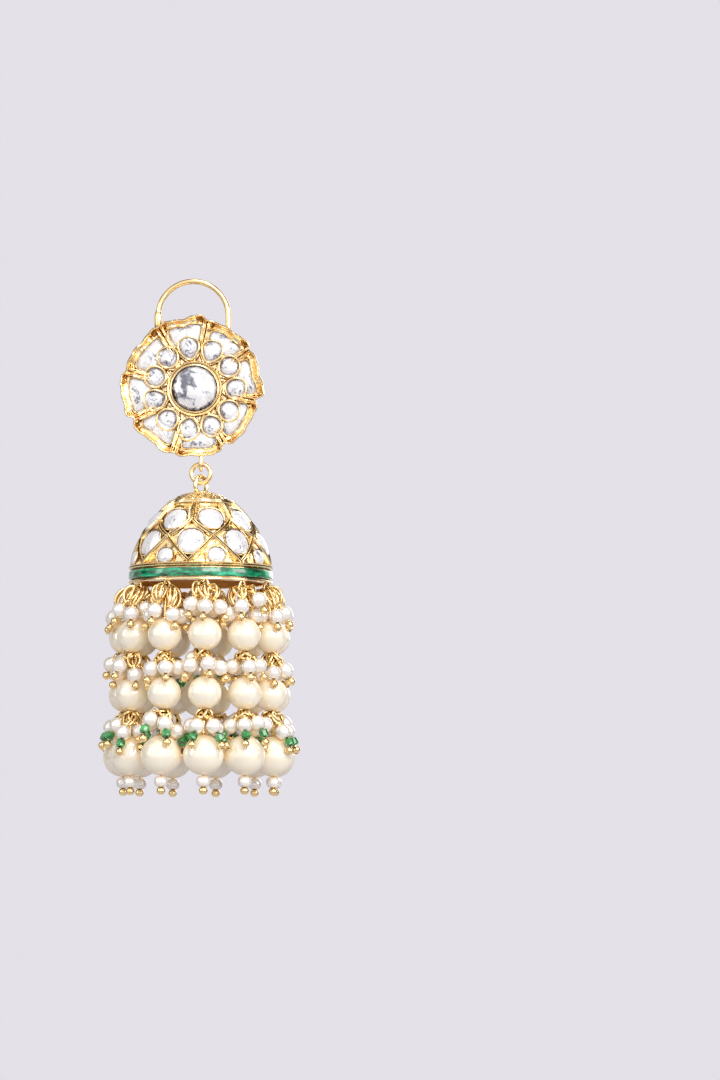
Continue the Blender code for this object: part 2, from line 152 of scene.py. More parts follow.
# One entry for each gold: its two plate tones, the colour of the painted shade in its crevices
# and how far that shade reaches, its finish and the depth of its dents
golds = {
    "plated gold": {
        "bright": (1.0, 0.86, 0.54), "deep": (1.0, 0.74, 0.37), "crevice": (0.16, 0.055, 0.012),
        "reach": 1.0 * mm, "roughness": 0.06, "hammer": 0.012 * mm,
    },
    "hammered gold": {
        "bright": (1.0, 0.88, 0.60), "deep": (1.0, 0.72, 0.34), "crevice": (0.26, 0.09, 0.018),
        "reach": 1.1 * mm, "roughness": 0.08, "hammer": 0.07 * mm,
    },
    "matte inner gold": {
        "bright": (0.97, 0.66, 0.29), "deep": (0.86, 0.48, 0.15), "crevice": (0.30, 0.11, 0.025),
        "reach": 3.0 * mm, "roughness": 0.40, "hammer": 0.08 * mm,
    },
    # a dark gold that paints shade into creases, pits and the grooves of ribs
    "gold painted crease shade": {
        "bright": (0.34, 0.15, 0.04), "deep": (0.20, 0.075, 0.018), "crevice": (0.05, 0.018, 0.005),
        "reach": 0.8 * mm, "roughness": 0.35, "hammer": 0.03 * mm,
    },
    "gold wires and balls": {
        "bright": (1.0, 0.82, 0.46), "deep": (0.97, 0.64, 0.26), "crevice": (0.13, 0.045, 0.008),
        "reach": 0.8 * mm, "roughness": 0.04, "hammer": 0.008 * mm, "clear": 0.72,
    },
}


def makeGold(name, bright, deep, crevice, reach, roughness, hammer, clear=0.52):
    shade, finish = newMaterial(name, {"Metallic": 1.0})
    patches = shade.noise(420.0, 4.0)
    dents = shade.noise(1500.0, 3.0)
    openness = shade.hollows(reach)
    plate = shade.blend(patches, deep, bright)
    # painted shade: the plate goes over to the crevice colour where ambient occlusion finds a
    # hollow
    shadeMask = shade.fade(openness + 0.12 * (dents - 0.5), 0.10, clear)
    return finish({
        "Base Color": shade.blend(shadeMask, crevice, plate),
        "Roughness": roughness + 0.08 * dents + 0.15 * (1 - openness),
        "Normal": shade.bump(dents + 0.5 * patches, hammer, 0.6),
    })


# Stones by name: facets in a metre, brightness, weights of painted clouds, foil grain and glints
stones = {
    "foiled stone": {"cell": 720.0, "shift": 0.17, "reflectionClouds": 0.0, "foilGrainAndGlints": 1.5},
    "foiled large stone": {"cell": 520.0, "shift": 0.14, "reflectionClouds": 2.6, "foilGrainAndGlints": 0.8},
    "foiled pale stone": {"cell": 720.0, "shift": 0.27, "reflectionClouds": 0.0, "foilGrainAndGlints": 1.5},
}
reflectionStops = ((0.0, (0.11, 0.11, 0.14)), (0.14, (0.31, 0.31, 0.36)), (0.30, (0.68, 0.68, 0.71)),
             (1.0, (0.86, 0.85, 0.86)))


def makeStone(name, cell, shift, reflectionClouds, foilGrainAndGlints):
    # Clear flat-cut stone over foil, with painted reflection: mostly white, a few grey facets
    shade, finish = newMaterial(name, {
        "Metallic": 0.12, "Coat Weight": 1.0, "Coat Roughness": 0.02, "IOR": 1.7,
    })
    links = {"Vector": shade.place(), "Scale": cell}
    cells = shade.node("ShaderNodeTexVoronoi", {"feature": "F1"}, links, "Color")
    facetReflection = shade.node("ShaderNodeSeparateColor", {}, {"Color": cells}, "Red")
    foil = shade.noise(1900.0, 3.0, 0.6)
    broadReflection = shade.noise(330.0, 2.0, 0.6)
    # painted reflection: grey facets, broad grey and white clouds, and glints over the foil's grain
    depth = 0.55 * facetReflection + shift + foilGrainAndGlints * (foil - 0.5) + reflectionClouds * (broadReflection - 0.5)
    return finish({
        "Base Color": shade.ramp(depth, reflectionStops),
        "Roughness": 0.05 + 0.22 * foil,
        "Normal": shade.bump(foil, 0.03 * mm, 0.4),
    })


# The two kinds of pearl: body colour, the warm colour of their mottling and of their painted
# shade, how clouded they are, and the glow in hollows
pearls = {
    "cream pearl": {
        "light": (0.85, 0.80, 0.68), "warm": (0.80, 0.60, 0.33), "mottle": 0.26,
        "glowReach": 9.0 * mm, "glow": 0.30, "glowColour": (0.85, 0.60, 0.30),
        "constants": {
            "Coat Weight": 1.0, "Coat Roughness": 0.02, "Coat IOR": 2.5,
            "Specular IOR Level": 0.1, "Subsurface Weight": 0.12,
            "Subsurface Radius": (0.9, 0.6, 0.35), "Subsurface Scale": 1.0 * mm, "IOR": 1.6,
        },
    },
    "white seed pearl": {
        "light": (0.88, 0.855, 0.825), "warm": (0.80, 0.62, 0.39), "mottle": 0.2,
        "glowReach": 4.0 * mm, "glow": 0.12, "glowColour": (0.85, 0.62, 0.36),
        "constants": {
            "Coat Weight": 1.0, "Coat Roughness": 0.04, "Coat IOR": 1.9, "Metallic": 0.3,
            "Subsurface Weight": 0.1, "Subsurface Radius": (0.8, 0.7, 0.6),
            "Subsurface Scale": 0.6 * mm, "IOR": 1.6,
        },
    },
}


def makePearlSkin(name, light, warm, mottle, glowReach, glow, glowColour, constants):
    shade, finish = newMaterial(name, {**constants, "Emission Strength": glow})
    clouds = shade.noise(260.0, 3.0, 0.55)
    grain = shade.noise(2600.0, 2.0)
    facing = shade.part(shade.place("Normal"), "Z")
    # painted shade: warmer towards the top and bottom of each bead
    poleShade = shade.fade(shade.maths("ABSOLUTE", facing, 0.0), 0.45, 1.0)
    body = shade.blend(mottle * clouds + 0.4 * poleShade, light, warm)
    # painted shade: warmer where other beads are close
    near = shade.fade(shade.hollows(2.2 * mm), 0.08, 0.62)
    # light that the pearls pass on to each other where little comes in from outside
    hidden = shade.ramp(shade.hollows(glowReach), ((0.15, (1, 1, 1)), (0.85, (0, 0, 0))))
    return finish({
        "Base Color": shade.blend(near, warm, body),
        "Emission Color": shade.blend(hidden, (0.0, 0.0, 0.0), glowColour),
        "Roughness": 0.15 + 0.08 * grain,
        "Normal": shade.bump(grain, 0.01 * mm, 0.35),
    })


def makeEnamel():
    shade, finish = newMaterial("green enamel", {
        "Coat Weight": 1.0, "Coat Roughness": 0.04, "IOR": 1.55, "Metallic": 0.0,
    })
    links = {"Vector": shade.place(), "Scale": (380.0, 380.0, 1500.0)}
    streaks = shade.noise(1.0, 4.0, 0.6, shade.node("ShaderNodeMapping", {}, links))
    flecks = shade.noise(2400.0, 2.0)
    stops = ((0.36, (0.0, 0.04, 0.02)), (0.48, (0.0, 0.16, 0.07)), (0.60, (0.0, 0.38, 0.18)),
             (0.72, (0.07, 0.64, 0.38)))
    return finish({
        "Base Color": shade.ramp(streaks + 0.18 * (flecks - 0.5), stops),
        "Roughness": 0.10 + 0.15 * flecks,
        "Normal": shade.bump(streaks, 0.05 * mm, 0.4),
    })


def makeGreenGlass():
    shade, finish = newMaterial("green glass", {
        "Coat Weight": 1.0, "Coat Roughness": 0.03, "IOR": 1.52, "Transmission Weight": 0.25,
    })
    swirl = shade.noise(900.0, 3.0)
    stops = ((0.30, (0.0, 0.07, 0.012)), (0.52, (0.005, 0.28, 0.045)), (0.74, (0.06, 0.62, 0.14)))
    return finish({
        "Base Color": shade.ramp(swirl, stops),
        "Roughness": 0.05 + 0.1 * swirl,
    })


gold, hammered, innerGold, creaseShade, wireGold = [makeGold(name, **look)
                                               for name, look in golds.items()]
stone, largeStone, paleStone = [makeStone(name, **look) for name, look in stones.items()]
pearl, seedPearl = [makePearlSkin(name, **look) for name, look in pearls.items()]
enamel = makeEnamel()
greenGlass = makeGreenGlass()
print("materials mixed")


# Mesh work: the points and faces of one piece while it is built up

class Stock:
    def __init__(self):
        self.points = []
        self.faces = []
        self.flat = []
        self.finish = []

    def addFace(self, face, flat, finish):
        self.faces.append(face)
        self.flat.append(flat)
        self.finish.append(finish)

    def addRings(self, rings, joined=False, capped=True, flat=False,
                 creaseRows=(), creaseSteps=()):
        # A skin over rings of points, with finish 1 on the rows and steps named as creases
        # finish 1 on these rows and steps is the dark gold of painted crease shade
        start, count, total = len(self.points), len(rings[0]), len(rings)
        for ring in rings:
            self.points.extend(ring)
        for row in range(total if joined else total - 1):
            near = start + row * count
            far = start + (row + 1) % total * count
            for step in range(count):
                after = (step + 1) % count
                mark = 1 if row in creaseRows or step in creaseSteps else 0
                self.addFace((near + step, near + after, far + after, far + step), flat, mark)
        if capped and not joined:
            last = start + (total - 1) * count
            self.addFace(tuple(range(start, start + count)), flat, 0)
            self.addFace(tuple(range(last, last + count)), flat, 0)


def addObject(stock, name, materials):
    mesh = bpy.data.meshes.new(name)
    mesh.from_pydata([tuple(point) for point in stock.points], [], stock.faces)
    for material in materials:
        mesh.materials.append(material)
    mesh.polygons.foreach_set("use_smooth", [not flat for flat in stock.flat])
    mesh.polygons.foreach_set("material_index", stock.finish)
    made = bpy.data.objects.new(name, mesh)
    bpy.context.scene.collection.objects.link(made)
    return made


def makePiece(stock, name, materials, body, replaced=()):
    piece = addObject(stock, name, materials)
    shape = bmesh.new()
    shape.from_mesh(piece.data)
    bmesh.ops.recalc_face_normals(shape, faces=shape.faces)
    sharp = math.radians(50)
    for edge in shape.edges:
        if len(edge.link_faces) == 2 and edge.calc_face_angle(0.0) > sharp:
            edge.smooth = False
    shape.to_mesh(piece.data)
    shape.free()
    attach(piece, body)
    if replaced:
        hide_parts(*replaced)


def clamp(value):
    return min(1.0, max(0.0, value))


def rough(point, scale, size):
    return size * noise.noise(Vector(point) * scale)


def uneven(draw, size, wanted):
    return size * (draw.random() - 0.5) if wanted else 0.0


def turnAngles(count):
    return [2 * math.pi * step / count for step in range(count)]


def towards(angle, first, second):
    return math.cos(angle) * first + math.sin(angle) * second


def circle(centre, first, second, radius, count):
    return [centre + radius * towards(angle, first, second) for angle in turnAngles(count)]


def neighbours(points, index, joined):
    # The points before and after one, or the point itself at an open end
    before = points[index - 1] if index or joined else points[index]
    inside = index < len(points) - 1 or joined
    return before, points[(index + 1) % len(points)] if inside else points[index]


def addWire(stock, route, radius, sides=8, joined=False):
    rings = []
    normal = None
    for index, point in enumerate(route):
        before, after = neighbours(route, index, joined)
        along = (after - before).normalized()
        normal = normal or along.orthogonal()
        normal = (normal - along * normal.dot(along)).normalized()
        rings.append(circle(point, normal, along.cross(normal), radius, sides))
    stock.addRings(rings, joined=joined)


def addTurned(stock, outline, centre, axis, sides, joined=False, flat=False):
    first = axis.orthogonal().normalized()
    second = axis.cross(first)
    rings = [circle(centre + height * axis, first, second, radius, sides)
             for radius, height in outline]
    stock.addRings(rings, joined=joined, flat=flat)


def addBead(stock, centre, axis, radius, height, bore, rows, sides):
    # A drilled bead with a rounded edge where the hole opens
    mouthShare, mouthDepth = 1.25, 0.25
    start = math.asin(min(0.95, mouthShare * bore / radius))
    outline = []
    for row in range(rows + 1):
        angle = start + (math.pi - 2 * start) * row / rows
        outline.append((radius * math.sin(angle), height / 2 * math.cos(angle)))
    mouth = height / 2 * math.cos(start) - mouthDepth * bore
    outline += [(bore, -mouth), (bore, mouth)]
    addTurned(stock, outline, centre, axis, sides, joined=True)


def smoothRoute(points, steps, joined=False):
    # Points on a smooth curve through the given ones
    made = []
    count = len(points)
    for span in range(count if joined else count - 1):
        places = [(span + shift) % count if joined else min(max(span + shift, 0), count - 1)
                  for shift in (-1, 0, 1, 2)]
        near = [points[place] for place in places]
        for step in range(steps):
            t = step / steps
            made.append(0.5 * (2 * near[1] + t * (near[2] - near[0])
                               + t * t * (2 * near[0] - 5 * near[1] + 4 * near[2] - near[3])
                               + t ** 3 * (3 * near[1] - near[0] - 3 * near[2] + near[3])))
    if not joined:
        made.append(points[-1].copy())
    return made


def mirroredLoop(top, sideways, shape, back, height, steps):
    # A closed route through a half shape and its mirror image, hung from the top
    right = [top + x * sideways + z * height * zAxis for x, z in shape]
    left = [top - x * sideways + z * height * zAxis for x, z in back]
    return smoothRoute(right + left, steps, joined=True)


def ballAt(name):
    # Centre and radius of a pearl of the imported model
    low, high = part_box(name)
    return (low + high) / 2, (high.z - low.z) / 2


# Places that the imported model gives
bandLow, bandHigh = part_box("enamel_band")
dropAxis = Vector(((bandLow.x + bandHigh.x) / 2, (bandLow.y + bandHigh.y) / 2, 0))
stoneLow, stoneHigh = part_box("centre_stone")
flowerCentre = Vector(((stoneLow.x + stoneHigh.x) / 2, 0, (stoneLow.z + stoneHigh.z) / 2))
wireLow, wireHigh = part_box("ear_wire")
ringLow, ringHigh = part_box("jump_ring")


# Camera, floor and light

studio = {
    "target": Vector((32.2, 0, -49.6)) * mm, "distance": 0.80, "lookUp": 4.5,
    "viewHeight": 207.7 * mm, "sensor": 36.0, "paper": (0.775, 0.75, 0.805),
    "floorDrop": 1.1, "floorRadii": (6.0, 3.0, 0.02), "floorSides": 64,
    # name, place, size, power, colour
    "lamps": (
        ("key", (0.26, -0.74, 0.20), (0.42, 0.44), 3.3, (1.0, 0.985, 0.96)),
        ("right", (0.68, -0.30, 0.12), (0.30, 0.32), 1.3, (1.0, 0.99, 0.98)),
        ("left", (-0.60, -0.25, 0.10), (0.14, 0.40), 0.5, (0.98, 0.98, 1.0)),
        ("top", (0.10, -0.20, 0.60), (0.30, 0.30), 1.0, (1.0, 1.0, 1.0)),
        ("back", (0.25, 0.60, 0.15), (0.40, 0.40), 0.8, (1.0, 0.98, 0.95)),
    ),
    "lampTarget": Vector((0, 0, -0.055)),
    # what reflections see from the back to the front: dim, dark at the sides, then bright
    "sky": ((0.0, (0.70, 0.68, 0.67)), (0.24, (0.44, 0.41, 0.38)), (0.36, (0.04, 0.022, 0.012)),
            (0.53, (0.05, 0.028, 0.014)), (0.64, (0.58, 0.54, 0.50)), (0.76, (1.14, 1.12, 1.10)),
            (1.0, (1.16, 1.16, 1.16))),
}


def addCamera():
    camera = bpy.data.objects.new("camera", bpy.data.cameras.new("camera"))
    tilt = math.radians(studio["lookUp"])
    away = Vector((0, -math.cos(tilt), -math.sin(tilt)))
    camera.location = studio["target"] + studio["distance"] * away
    camera.rotation_euler = (-away).to_track_quat("-Z", "Y").to_euler()
    camera.data.sensor_width = studio["sensor"]
    camera.data.lens = studio["sensor"] * studio["distance"] / studio["viewHeight"]
    camera.data.clip_start = 0.01
    camera.data.clip_end = 20.0
    bpy.context.scene.collection.objects.link(camera)
    bpy.context.scene.camera = camera


def addFloor():
    stock = Stock()
    low = Vector((0, 0, -studio["floorDrop"]))
    sides = studio["floorSides"]
    stock.addRings([circle(low, xAxis, yAxis, radius, sides) for radius in studio["floorRadii"]],
                   capped=False)
    stock.addFace(tuple(range(len(stock.points) - sides, len(stock.points))), False, 0)
    shade, finish = newMaterial("pale paper", {"Roughness": 0.9})
    fibres = shade.noise(60.0, 4.0)
    paper = finish({"Base Color": shade.blend(fibres, (0.78, 0.76, 0.80), (0.82, 0.80, 0.84))})
    addObject(stock, "floor", [paper])


def addWorld():
    world = bpy.data.worlds.new("studio")
    world.use_nodes = True
    shade = Shade(world.node_tree)
    place = shade.place("Generated")
    height, depth = shade.part(place, "Z"), shade.part(place, "Y")
    room = shade.noise(2.6, 2.0, 0.55, place)
    camRay = shade.node("ShaderNodeLightPath", output="Is Camera Ray")
    glossRay = shade.node("ShaderNodeLightPath", output="Is Glossy Ray")
    # reflections see the dark sides in full, matte surfaces are lit more evenly
    surround = 0.5 - 0.5 * depth + 0.10 * height + 0.7 * (room - 0.5)
    sky = shade.ramp(surround + 0.16 * (1 - glossRay), studio["sky"])
    lit = shade.node("ShaderNodeBackground", {}, {"Color": sky, "Strength": 0.90 + 0.10 * glossRay})
    seen = {"Color": (*studio["paper"], 1.0), "Strength": 1.0}
    paper = shade.node("ShaderNodeBackground", {}, seen)
    mixed = shade.node("ShaderNodeMixShader", {}, {0: camRay, 1: lit, 2: paper})
    shade.feed(world.node_tree.nodes["World Output"].inputs["Surface"], mixed)
    bpy.context.scene.world = world


def addLamps():
    for name, place, size, power, colour in studio["lamps"]:
        data = bpy.data.lights.new(name, "AREA")
        data.shape = "RECTANGLE"
        data.size, data.size_y = size
        data.energy = power
        data.color = colour
        lamp = bpy.data.objects.new(name, data)
        lamp.location = place
        facing = studio["lampTarget"] - lamp.location
        lamp.rotation_euler = facing.to_track_quat("-Z", "Y").to_euler()
        bpy.context.scene.collection.objects.link(lamp)


addCamera()
addFloor()
addWorld()
addLamps()
bpy.context.scene.view_settings.view_transform = "Standard"
print("studio set")


# Ear wire: an arc over the lobe with a catch tube on its left leg

def makeEarWire():
    earWire = {"thickness": 1.05 * mm, "tubeWidth": 1.4 * mm, "tubeRise": 0.7 * mm,
               "tubeLength": 4.2 * mm, "bevel": 0.12 * mm, "endShare": 0.6,
               "arcSteps": 72, "sides": 20}
    radius, tube = earWire["thickness"] / 2, earWire["tubeWidth"] / 2
    bevel, steps = earWire["bevel"], earWire["arcSteps"]
    halfWidth = wireHigh.x - radius
    arcZ = wireHigh.z - radius - halfWidth
    legEnd = wireLow.z
    endRadius = radius * earWire["endShare"]
    tubeTop = arcZ + earWire["tubeRise"]
    tubeEnd = tubeTop - earWire["tubeLength"]
    leftLeg = (
        (legEnd, endRadius), (legEnd + bevel, radius), (tubeEnd - bevel, radius),
        (tubeEnd, radius), (tubeEnd, tube - bevel), (tubeEnd + bevel, tube),
        (tubeTop - 4 * bevel, tube), (tubeTop - 2 * bevel, tube - 0.4 * bevel),
        (tubeTop, tube - bevel), (tubeTop + bevel, radius),
    )
    rings = [circle(Vector((-halfWidth, 0, height)), yAxis, xAxis, size, earWire["sides"])
             for height, size in leftLeg]
    span = math.pi - math.asin((earWire["tubeRise"] + radius) / halfWidth)
    for step in range(steps + 1):
        angle = span * (1 - step / steps)
        outward = towards(angle, xAxis, zAxis)
        centre = Vector((0, 0, arcZ)) + halfWidth * outward
        size = radius + rough(centre, 900, 0.02 * mm)
        rings.append(circle(centre, yAxis, -outward, size, earWire["sides"]))
    rings += [circle(Vector((halfWidth, 0, height)), yAxis, -xAxis, size, earWire["sides"])
              for height, size in ((legEnd + bevel, radius), (legEnd, endRadius))]
    stock = Stock()
    stock.addRings(rings)
    makePiece(stock, "ear_wire_polished", [wireGold], "stud", ["ear_wire"])


makeEarWire()
print("ear wire bent")


# Flower: eight cupped petals round a ring of small settings and a domed stone

flower = {
    "radius": 14.1 * mm, "plate": 0.9 * mm, "plateBack": -1.0 * mm, "floor": 0.25 * mm,
    "sides": 720, "hub": 0.01 * mm,
    # angle from the right where each petal starts, and shares of the radius at the notch and corner
    "petals": ((79.4, 0.960, 1.020), (120.5, 0.985, 1.010), (165.3, 0.970, 1.035),
               (206.8, 0.935, 0.990), (251.8, 0.935, 0.965), (298.0, 0.865, 0.930),
               (349.1, 0.850, 0.960), (395.6, 0.925, 0.980)),
    "dip": 0.03, "slant": 0.02, "shoulder": 2.4,
    # heights in mm by the distance in from the outline, and from the line between two petals
    "rim": ((0.0, 2.10), (0.07, 2.45), (0.20, 2.60), (0.34, 2.55), (0.48, 2.15), (0.60, 1.62),
            (0.80, 1.40), (1.10, 1.34), (1.30, 1.34), (1.45, 1.20), (1.62, 0.90), (1.9, 0.5)),
    "side": ((0.0, 1.48), (0.06, 1.52), (0.14, 1.90), (0.28, 1.98), (0.40, 1.72), (0.48, 1.55),
             (0.58, 1.70), (0.70, 1.66), (0.82, 1.25), (1.0, 0.8), (1.3, 0.5)),
    # hollows of the rim, painted with shade: share across the petal, width, length inwards, depth
    "pits": ((0.12, 0.09, 0.48, 1.0), (0.91, 0.06, 0.42, 0.7)),
    # share of the outline's radius, height in mm and grain in mm of each row behind and beside
    "back": ((0.0, -0.9, 0.0), (0.25, -0.9, 0.04), (0.5, -0.9, 0.04), (0.7, -0.9, 0.04),
             (0.85, -0.9, 0.04), (0.93, -0.9, 0.02), (0.95, -0.9, 0.0), (0.965, -0.82, 0.0),
             (0.974, -0.5, 0.14), (0.978, 0.0, 0.18), (0.982, 0.5, 0.18), (0.987, 1.0, 0.16),
             (0.993, 1.5, 0.10)),
    # rows of the front, in mm from the outline, then in shares of the way to a circle
    "insets": (0.0, 0.07, 0.14, 0.22, 0.32, 0.42, 0.5, 0.58, 0.66, 0.74, 0.85, 0.97, 1.1, 1.25,
               1.4, 1.57, 1.75, 1.9, 2.05, 2.15, 2.25, 2.4, 2.7, 3.2),
    "shares": (0.15, 0.3, 0.45, 0.6, 0.75, 0.9), "circle": 7.4 * mm,
    "radii": (7.2, 6.9, 6.7, 6.5, 6.3, 6.1, 5.9, 5.7, 5.5, 5.35, 5.2, 4.9),
    "ringRadius": 7.9 * mm, "ringCount": 11, "ringStart": 98.1, "ringStone": 1.76 * mm,
    "ringWall": 0.46 * mm, "ringHeight": 1.85 * mm,
    # how much each small stone comes to a point towards the middle
    "points": (0.9, 0.15, 0.2, 0.8, 0.3, 0.9, 0.4, 0.2, 0.1, 0.3, 0.9),
    "stone": 4.4 * mm,
    # share of the stone's radius and height in mm of the rows of its collar, and of its facets
    "collar": ((1.13, 0.1), (1.10, 0.9), (1.085, 1.35), (1.22, 1.45), (1.215, 1.75), (1.17, 1.92),
               (1.12, 1.86), (1.10, 1.72), (1.07, 2.02), (1.03, 2.10), (1.0, 2.0), (0.985, 1.6),
               (0.98, 1.2)),
    "facets": ((0.95, 0.3), (0.985, 1.0), (0.975, 1.75), (0.84, 2.42), (0.56, 2.92), (0.24, 3.15)),
    "facetSides": 13,
    # corners of a petal stone: share across it, with mm in from the outline or mm of radius
    "outerCorners": ((0.0, 0.9), (0.10, 0.22), (0.30, 0.0), (0.5, 0.0), (0.70, 0.0), (0.90, 0.22),
                     (1.0, 0.9)),
    "innerCorners": ((0.97, 9.0), (0.82, 8.3), (0.5, 8.1), (0.18, 8.3), (0.03, 9.0)),
    "petalStone": {"edge": 0.12, "inset": 1.52, "wall": 0.26 * mm, "height": 1.42 * mm,
                   "foot": 0.3 * mm, "seat": 0.90 * mm, "cut": 0.70 * mm},
}


def flowerPoint(angle, radius, height):
    x = flowerCentre.x + radius * math.cos(angle)
    z = flowerCentre.z + radius * math.sin(angle)
    return Vector((x, flower["plateBack"] - flower["plate"] - height, z))


def petalAt(angle):
    # Petal number, share across it, its width in radians and the outline's radius at an angle
    turn = math.degrees(angle) % 360
    petals = flower["petals"]
    index = min(range(len(petals)), key=lambda number: (turn - petals[number][0]) % 360)
    start, notch, corner = petals[index]
    end, endNotch = petals[(index + 1) % len(petals)][:2]
    span = (end - start) % 360
    across = (turn - start) % 360 / span
    arch = math.sin(math.pi * across)
    low = notch + (endNotch - notch) * across
    high = corner * (1 - flower["dip"] * arch ** 2) - flower["slant"] * across
    lift = min(1.0, flower["shoulder"] * arch)
    lift = lift * lift * (3 - 2 * lift)
    wave = (0.012 * math.sin(9 * across + 2.1 * index)
            + 0.006 * math.sin(23 * across + index))
    share = low + (high + wave * arch - low) * lift
    return index, across, math.radians(span), share * flower["radius"]


def stepped(value, table):
    places, heights = zip(*table)
    return float(np.interp(value, places, heights))


def petalPit(across, inset):
    # The hollows that the hammered edge has near both corners of a petal, painted with shade
    return sum(depth * math.exp(-((across - place) / width) ** 2
                                - ((inset / mm - 1.05) / length) ** 2)
               for place, width, length, depth in flower["pits"])


def petalHeight(angle, inset, radius):
    index, across, span = petalAt(angle)[:3]
    aside = min(across, 1 - across) * span * radius / mm
    rim = stepped(inset / mm, flower["rim"]) - 0.9 * petalPit(across, inset)
    outer = clamp((radius / mm - 7.0) / 5.0)
    side = stepped(aside, flower["side"]) * (0.75 + 0.35 * outer)
    lip = 0.20 * math.sin(8 * across + 1.7 * index) * math.exp(-(inset / mm) ** 2)
    # the floor rises towards the middle, with a small recess between each two settings
    count = flower["ringCount"]
    part = (math.degrees(angle) - flower["ringStart"]) * count / 360 - 0.5
    beside = abs(part - round(part)) * 2 * math.pi / count * radius / mm
    reach = (radius / mm - 5.3) / 1.5
    recess = clamp((0.80 * (1 - reach) - beside) / 0.15) if 0.0 < reach < 1.0 else 0.0
    floor = 0.85 + 0.35 * clamp(9.4 - radius / mm) - 0.75 * recess
    height = max(rim + lip if inset < 2.4 * mm else 0.0, side if radius > 7.2 * mm else 0.0,
                 floor)
    place = (math.cos(angle) * radius, math.sin(angle) * radius, index)
    return max(0.25, height + rough(place, 800, 0.12) + rough(place, 1900, 0.05)) * mm


def markFlower(stock, rows, angles):
    # Painted shade in the pits, and orange patches on the ledge between rim and petal stones
    pitFrom, orangeFrom, ledge = 0.72, 0.1, (0.45, 1.25)
    first = len(flower["back"])
    for row, inset in enumerate(flower["insets"]):
        for step, angle in enumerate(angles):
            spot = rows[first + row][step]
            pitShade = petalPit(petalAt(angle)[1], inset * mm) + rough(spot, 1500, 0.5)
            orange = rough(spot, 620, 1.0) + rough(spot, 2100, 0.5)
            face = (first + row) * len(angles) + step
            # painted shade: the pits take the dark crease gold
            if pitShade > pitFrom:
                stock.finish[face] = 1
            elif ledge[0] < inset < ledge[1] and orange > orangeFrom:
                stock.finish[face] = 2


def addKeepers(stock):
    # Two short tubes behind the flower that the ear wire's legs stand in
    keeper = {"bore": 0.825 * mm, "wall": 0.45 * mm, "length": 5.45 * mm, "top": -10.548 * mm,
              "edge": 0.1 * mm, "inFrom": 0.525 * mm, "sides": 28}
    bore, outer = keeper["bore"], keeper["bore"] + keeper["wall"]
    low, edge = -keeper["length"], keeper["edge"]
    outline = ((bore, 0), (outer - edge, 0), (outer, -edge), (outer, low + edge),
               (outer - edge, low), (bore, low))
    for side in (-1, 1):
        centre = Vector((side * (wireHigh.x - keeper["inFrom"]), 0, keeper["top"]))
        addTurned(stock, outline, centre, zAxis, keeper["sides"], joined=True)


def addFlowerLoop(stock):
    # The loop under the flower that the jump ring hangs in
    loop = {"radius": 1.1 * mm, "wire": 0.375 * mm, "rise": 2.4 * mm, "steps": 24, "sides": 14}
    radius, z = loop["radius"], ringHigh.z - 0.425 * mm
    route = [Vector((dropAxis.x, dropAxis.y - radius, z + loop["rise"]))]
    for step in range(loop["steps"] + 1):
        angle = math.pi * step / loop["steps"]
        route.append(Vector((dropAxis.x, dropAxis.y - radius * math.cos(angle),
                             z - radius * math.sin(angle))))
    route.append(Vector((dropAxis.x, dropAxis.y + radius, z + loop["rise"])))
    addWire(stock, route, loop["wire"], loop["sides"])


def makeFlowerBody():
    angles = turnAngles(flower["sides"])
    outlines = [petalAt(angle)[3] for angle in angles]
    rows = []
    for share, height, grain in flower["back"]:
        row = []
        for angle, outline in zip(angles, outlines):
            spot = flowerPoint(angle, max(share * outline, flower["hub"]), height * mm)
            change = rough(spot, 700, grain * mm)
            # the plate is uneven in its depth, the edge in its radius
            out, deep = (change, 0.0) if share > 0.96 else (0.0, change)
            row.append(flowerPoint(angle, max(share * outline + out, flower["hub"]),
                                   height * mm + deep))
        rows.append(row)

    def addRow(inset, radii):
        rows.append([flowerPoint(angle, radius, petalHeight(angle, inset, radius))
                     for angle, radius in zip(angles, radii)])

    for inset in flower["insets"]:
        addRow(inset * mm, [outline - inset * mm for outline in outlines])
    # from there in, the rows go over from the outline's shape to a circle
    edge = [outline - flower["insets"][-1] * mm for outline in outlines]
    inside = 9 * mm
    for share in flower["shares"]:
        addRow(inside, [radius + share * (flower["circle"] - radius) for radius in edge])
    for radius in flower["radii"]:
        addRow(inside, [radius * mm] * len(angles))
    rows.append([flowerPoint(angle, flower["hub"], flower["floor"]) for angle in angles])
    stock = Stock()
    stock.addRings(rows, capped=False)
    markFlower(stock, rows, angles)
    addKeepers(stock)
    addFlowerLoop(stock)
    makePiece(stock, "flower_body", [hammered, creaseShade, innerGold], "stud",
              ["stud_flower"])


def pearOutline(size, point, count):
    # Outline of a round or pear stone, its point on the first axis
    made = []
    for angle in turnAngles(count):
        tip = max(0.0, math.cos(angle)) ** 5
        pinch = 1 - 0.10 * point * math.cos(angle)
        made.append((size * (1 + 0.24 * point * tip) * math.cos(angle) - 0.08 * point * size,
                     size * pinch * math.sin(angle)))
    return made


def addFacets(stock, outline, levels, spotAt, wobble, lifting, draw):
    # A flat-cut stone: girdle, two rows of uneven facets and a small table
    rings = []
    for level, (share, rise) in enumerate(levels):
        ring = []
        for x, y in outline:
            size = share * (1 + uneven(draw, wobble, level > 1))
            ring.append(spotAt(size * x, size * y, rise + uneven(draw, lifting, level > 1)))
        rings.append(ring)
    stock.addRings(rings, flat=True)


def addCutStone(stock, outline, centre, first, second, height, draw):
    levels = ((1.0, -0.25), (1.0, 0.10), (0.80, 0.52), (0.50, 0.88), (0.22, 1.0))

    def spotAt(x, y, lift):
        return centre + x * first + y * second + lift * height * toFront

    addFacets(stock, outline, levels, spotAt, 0.07, 0.12, draw)


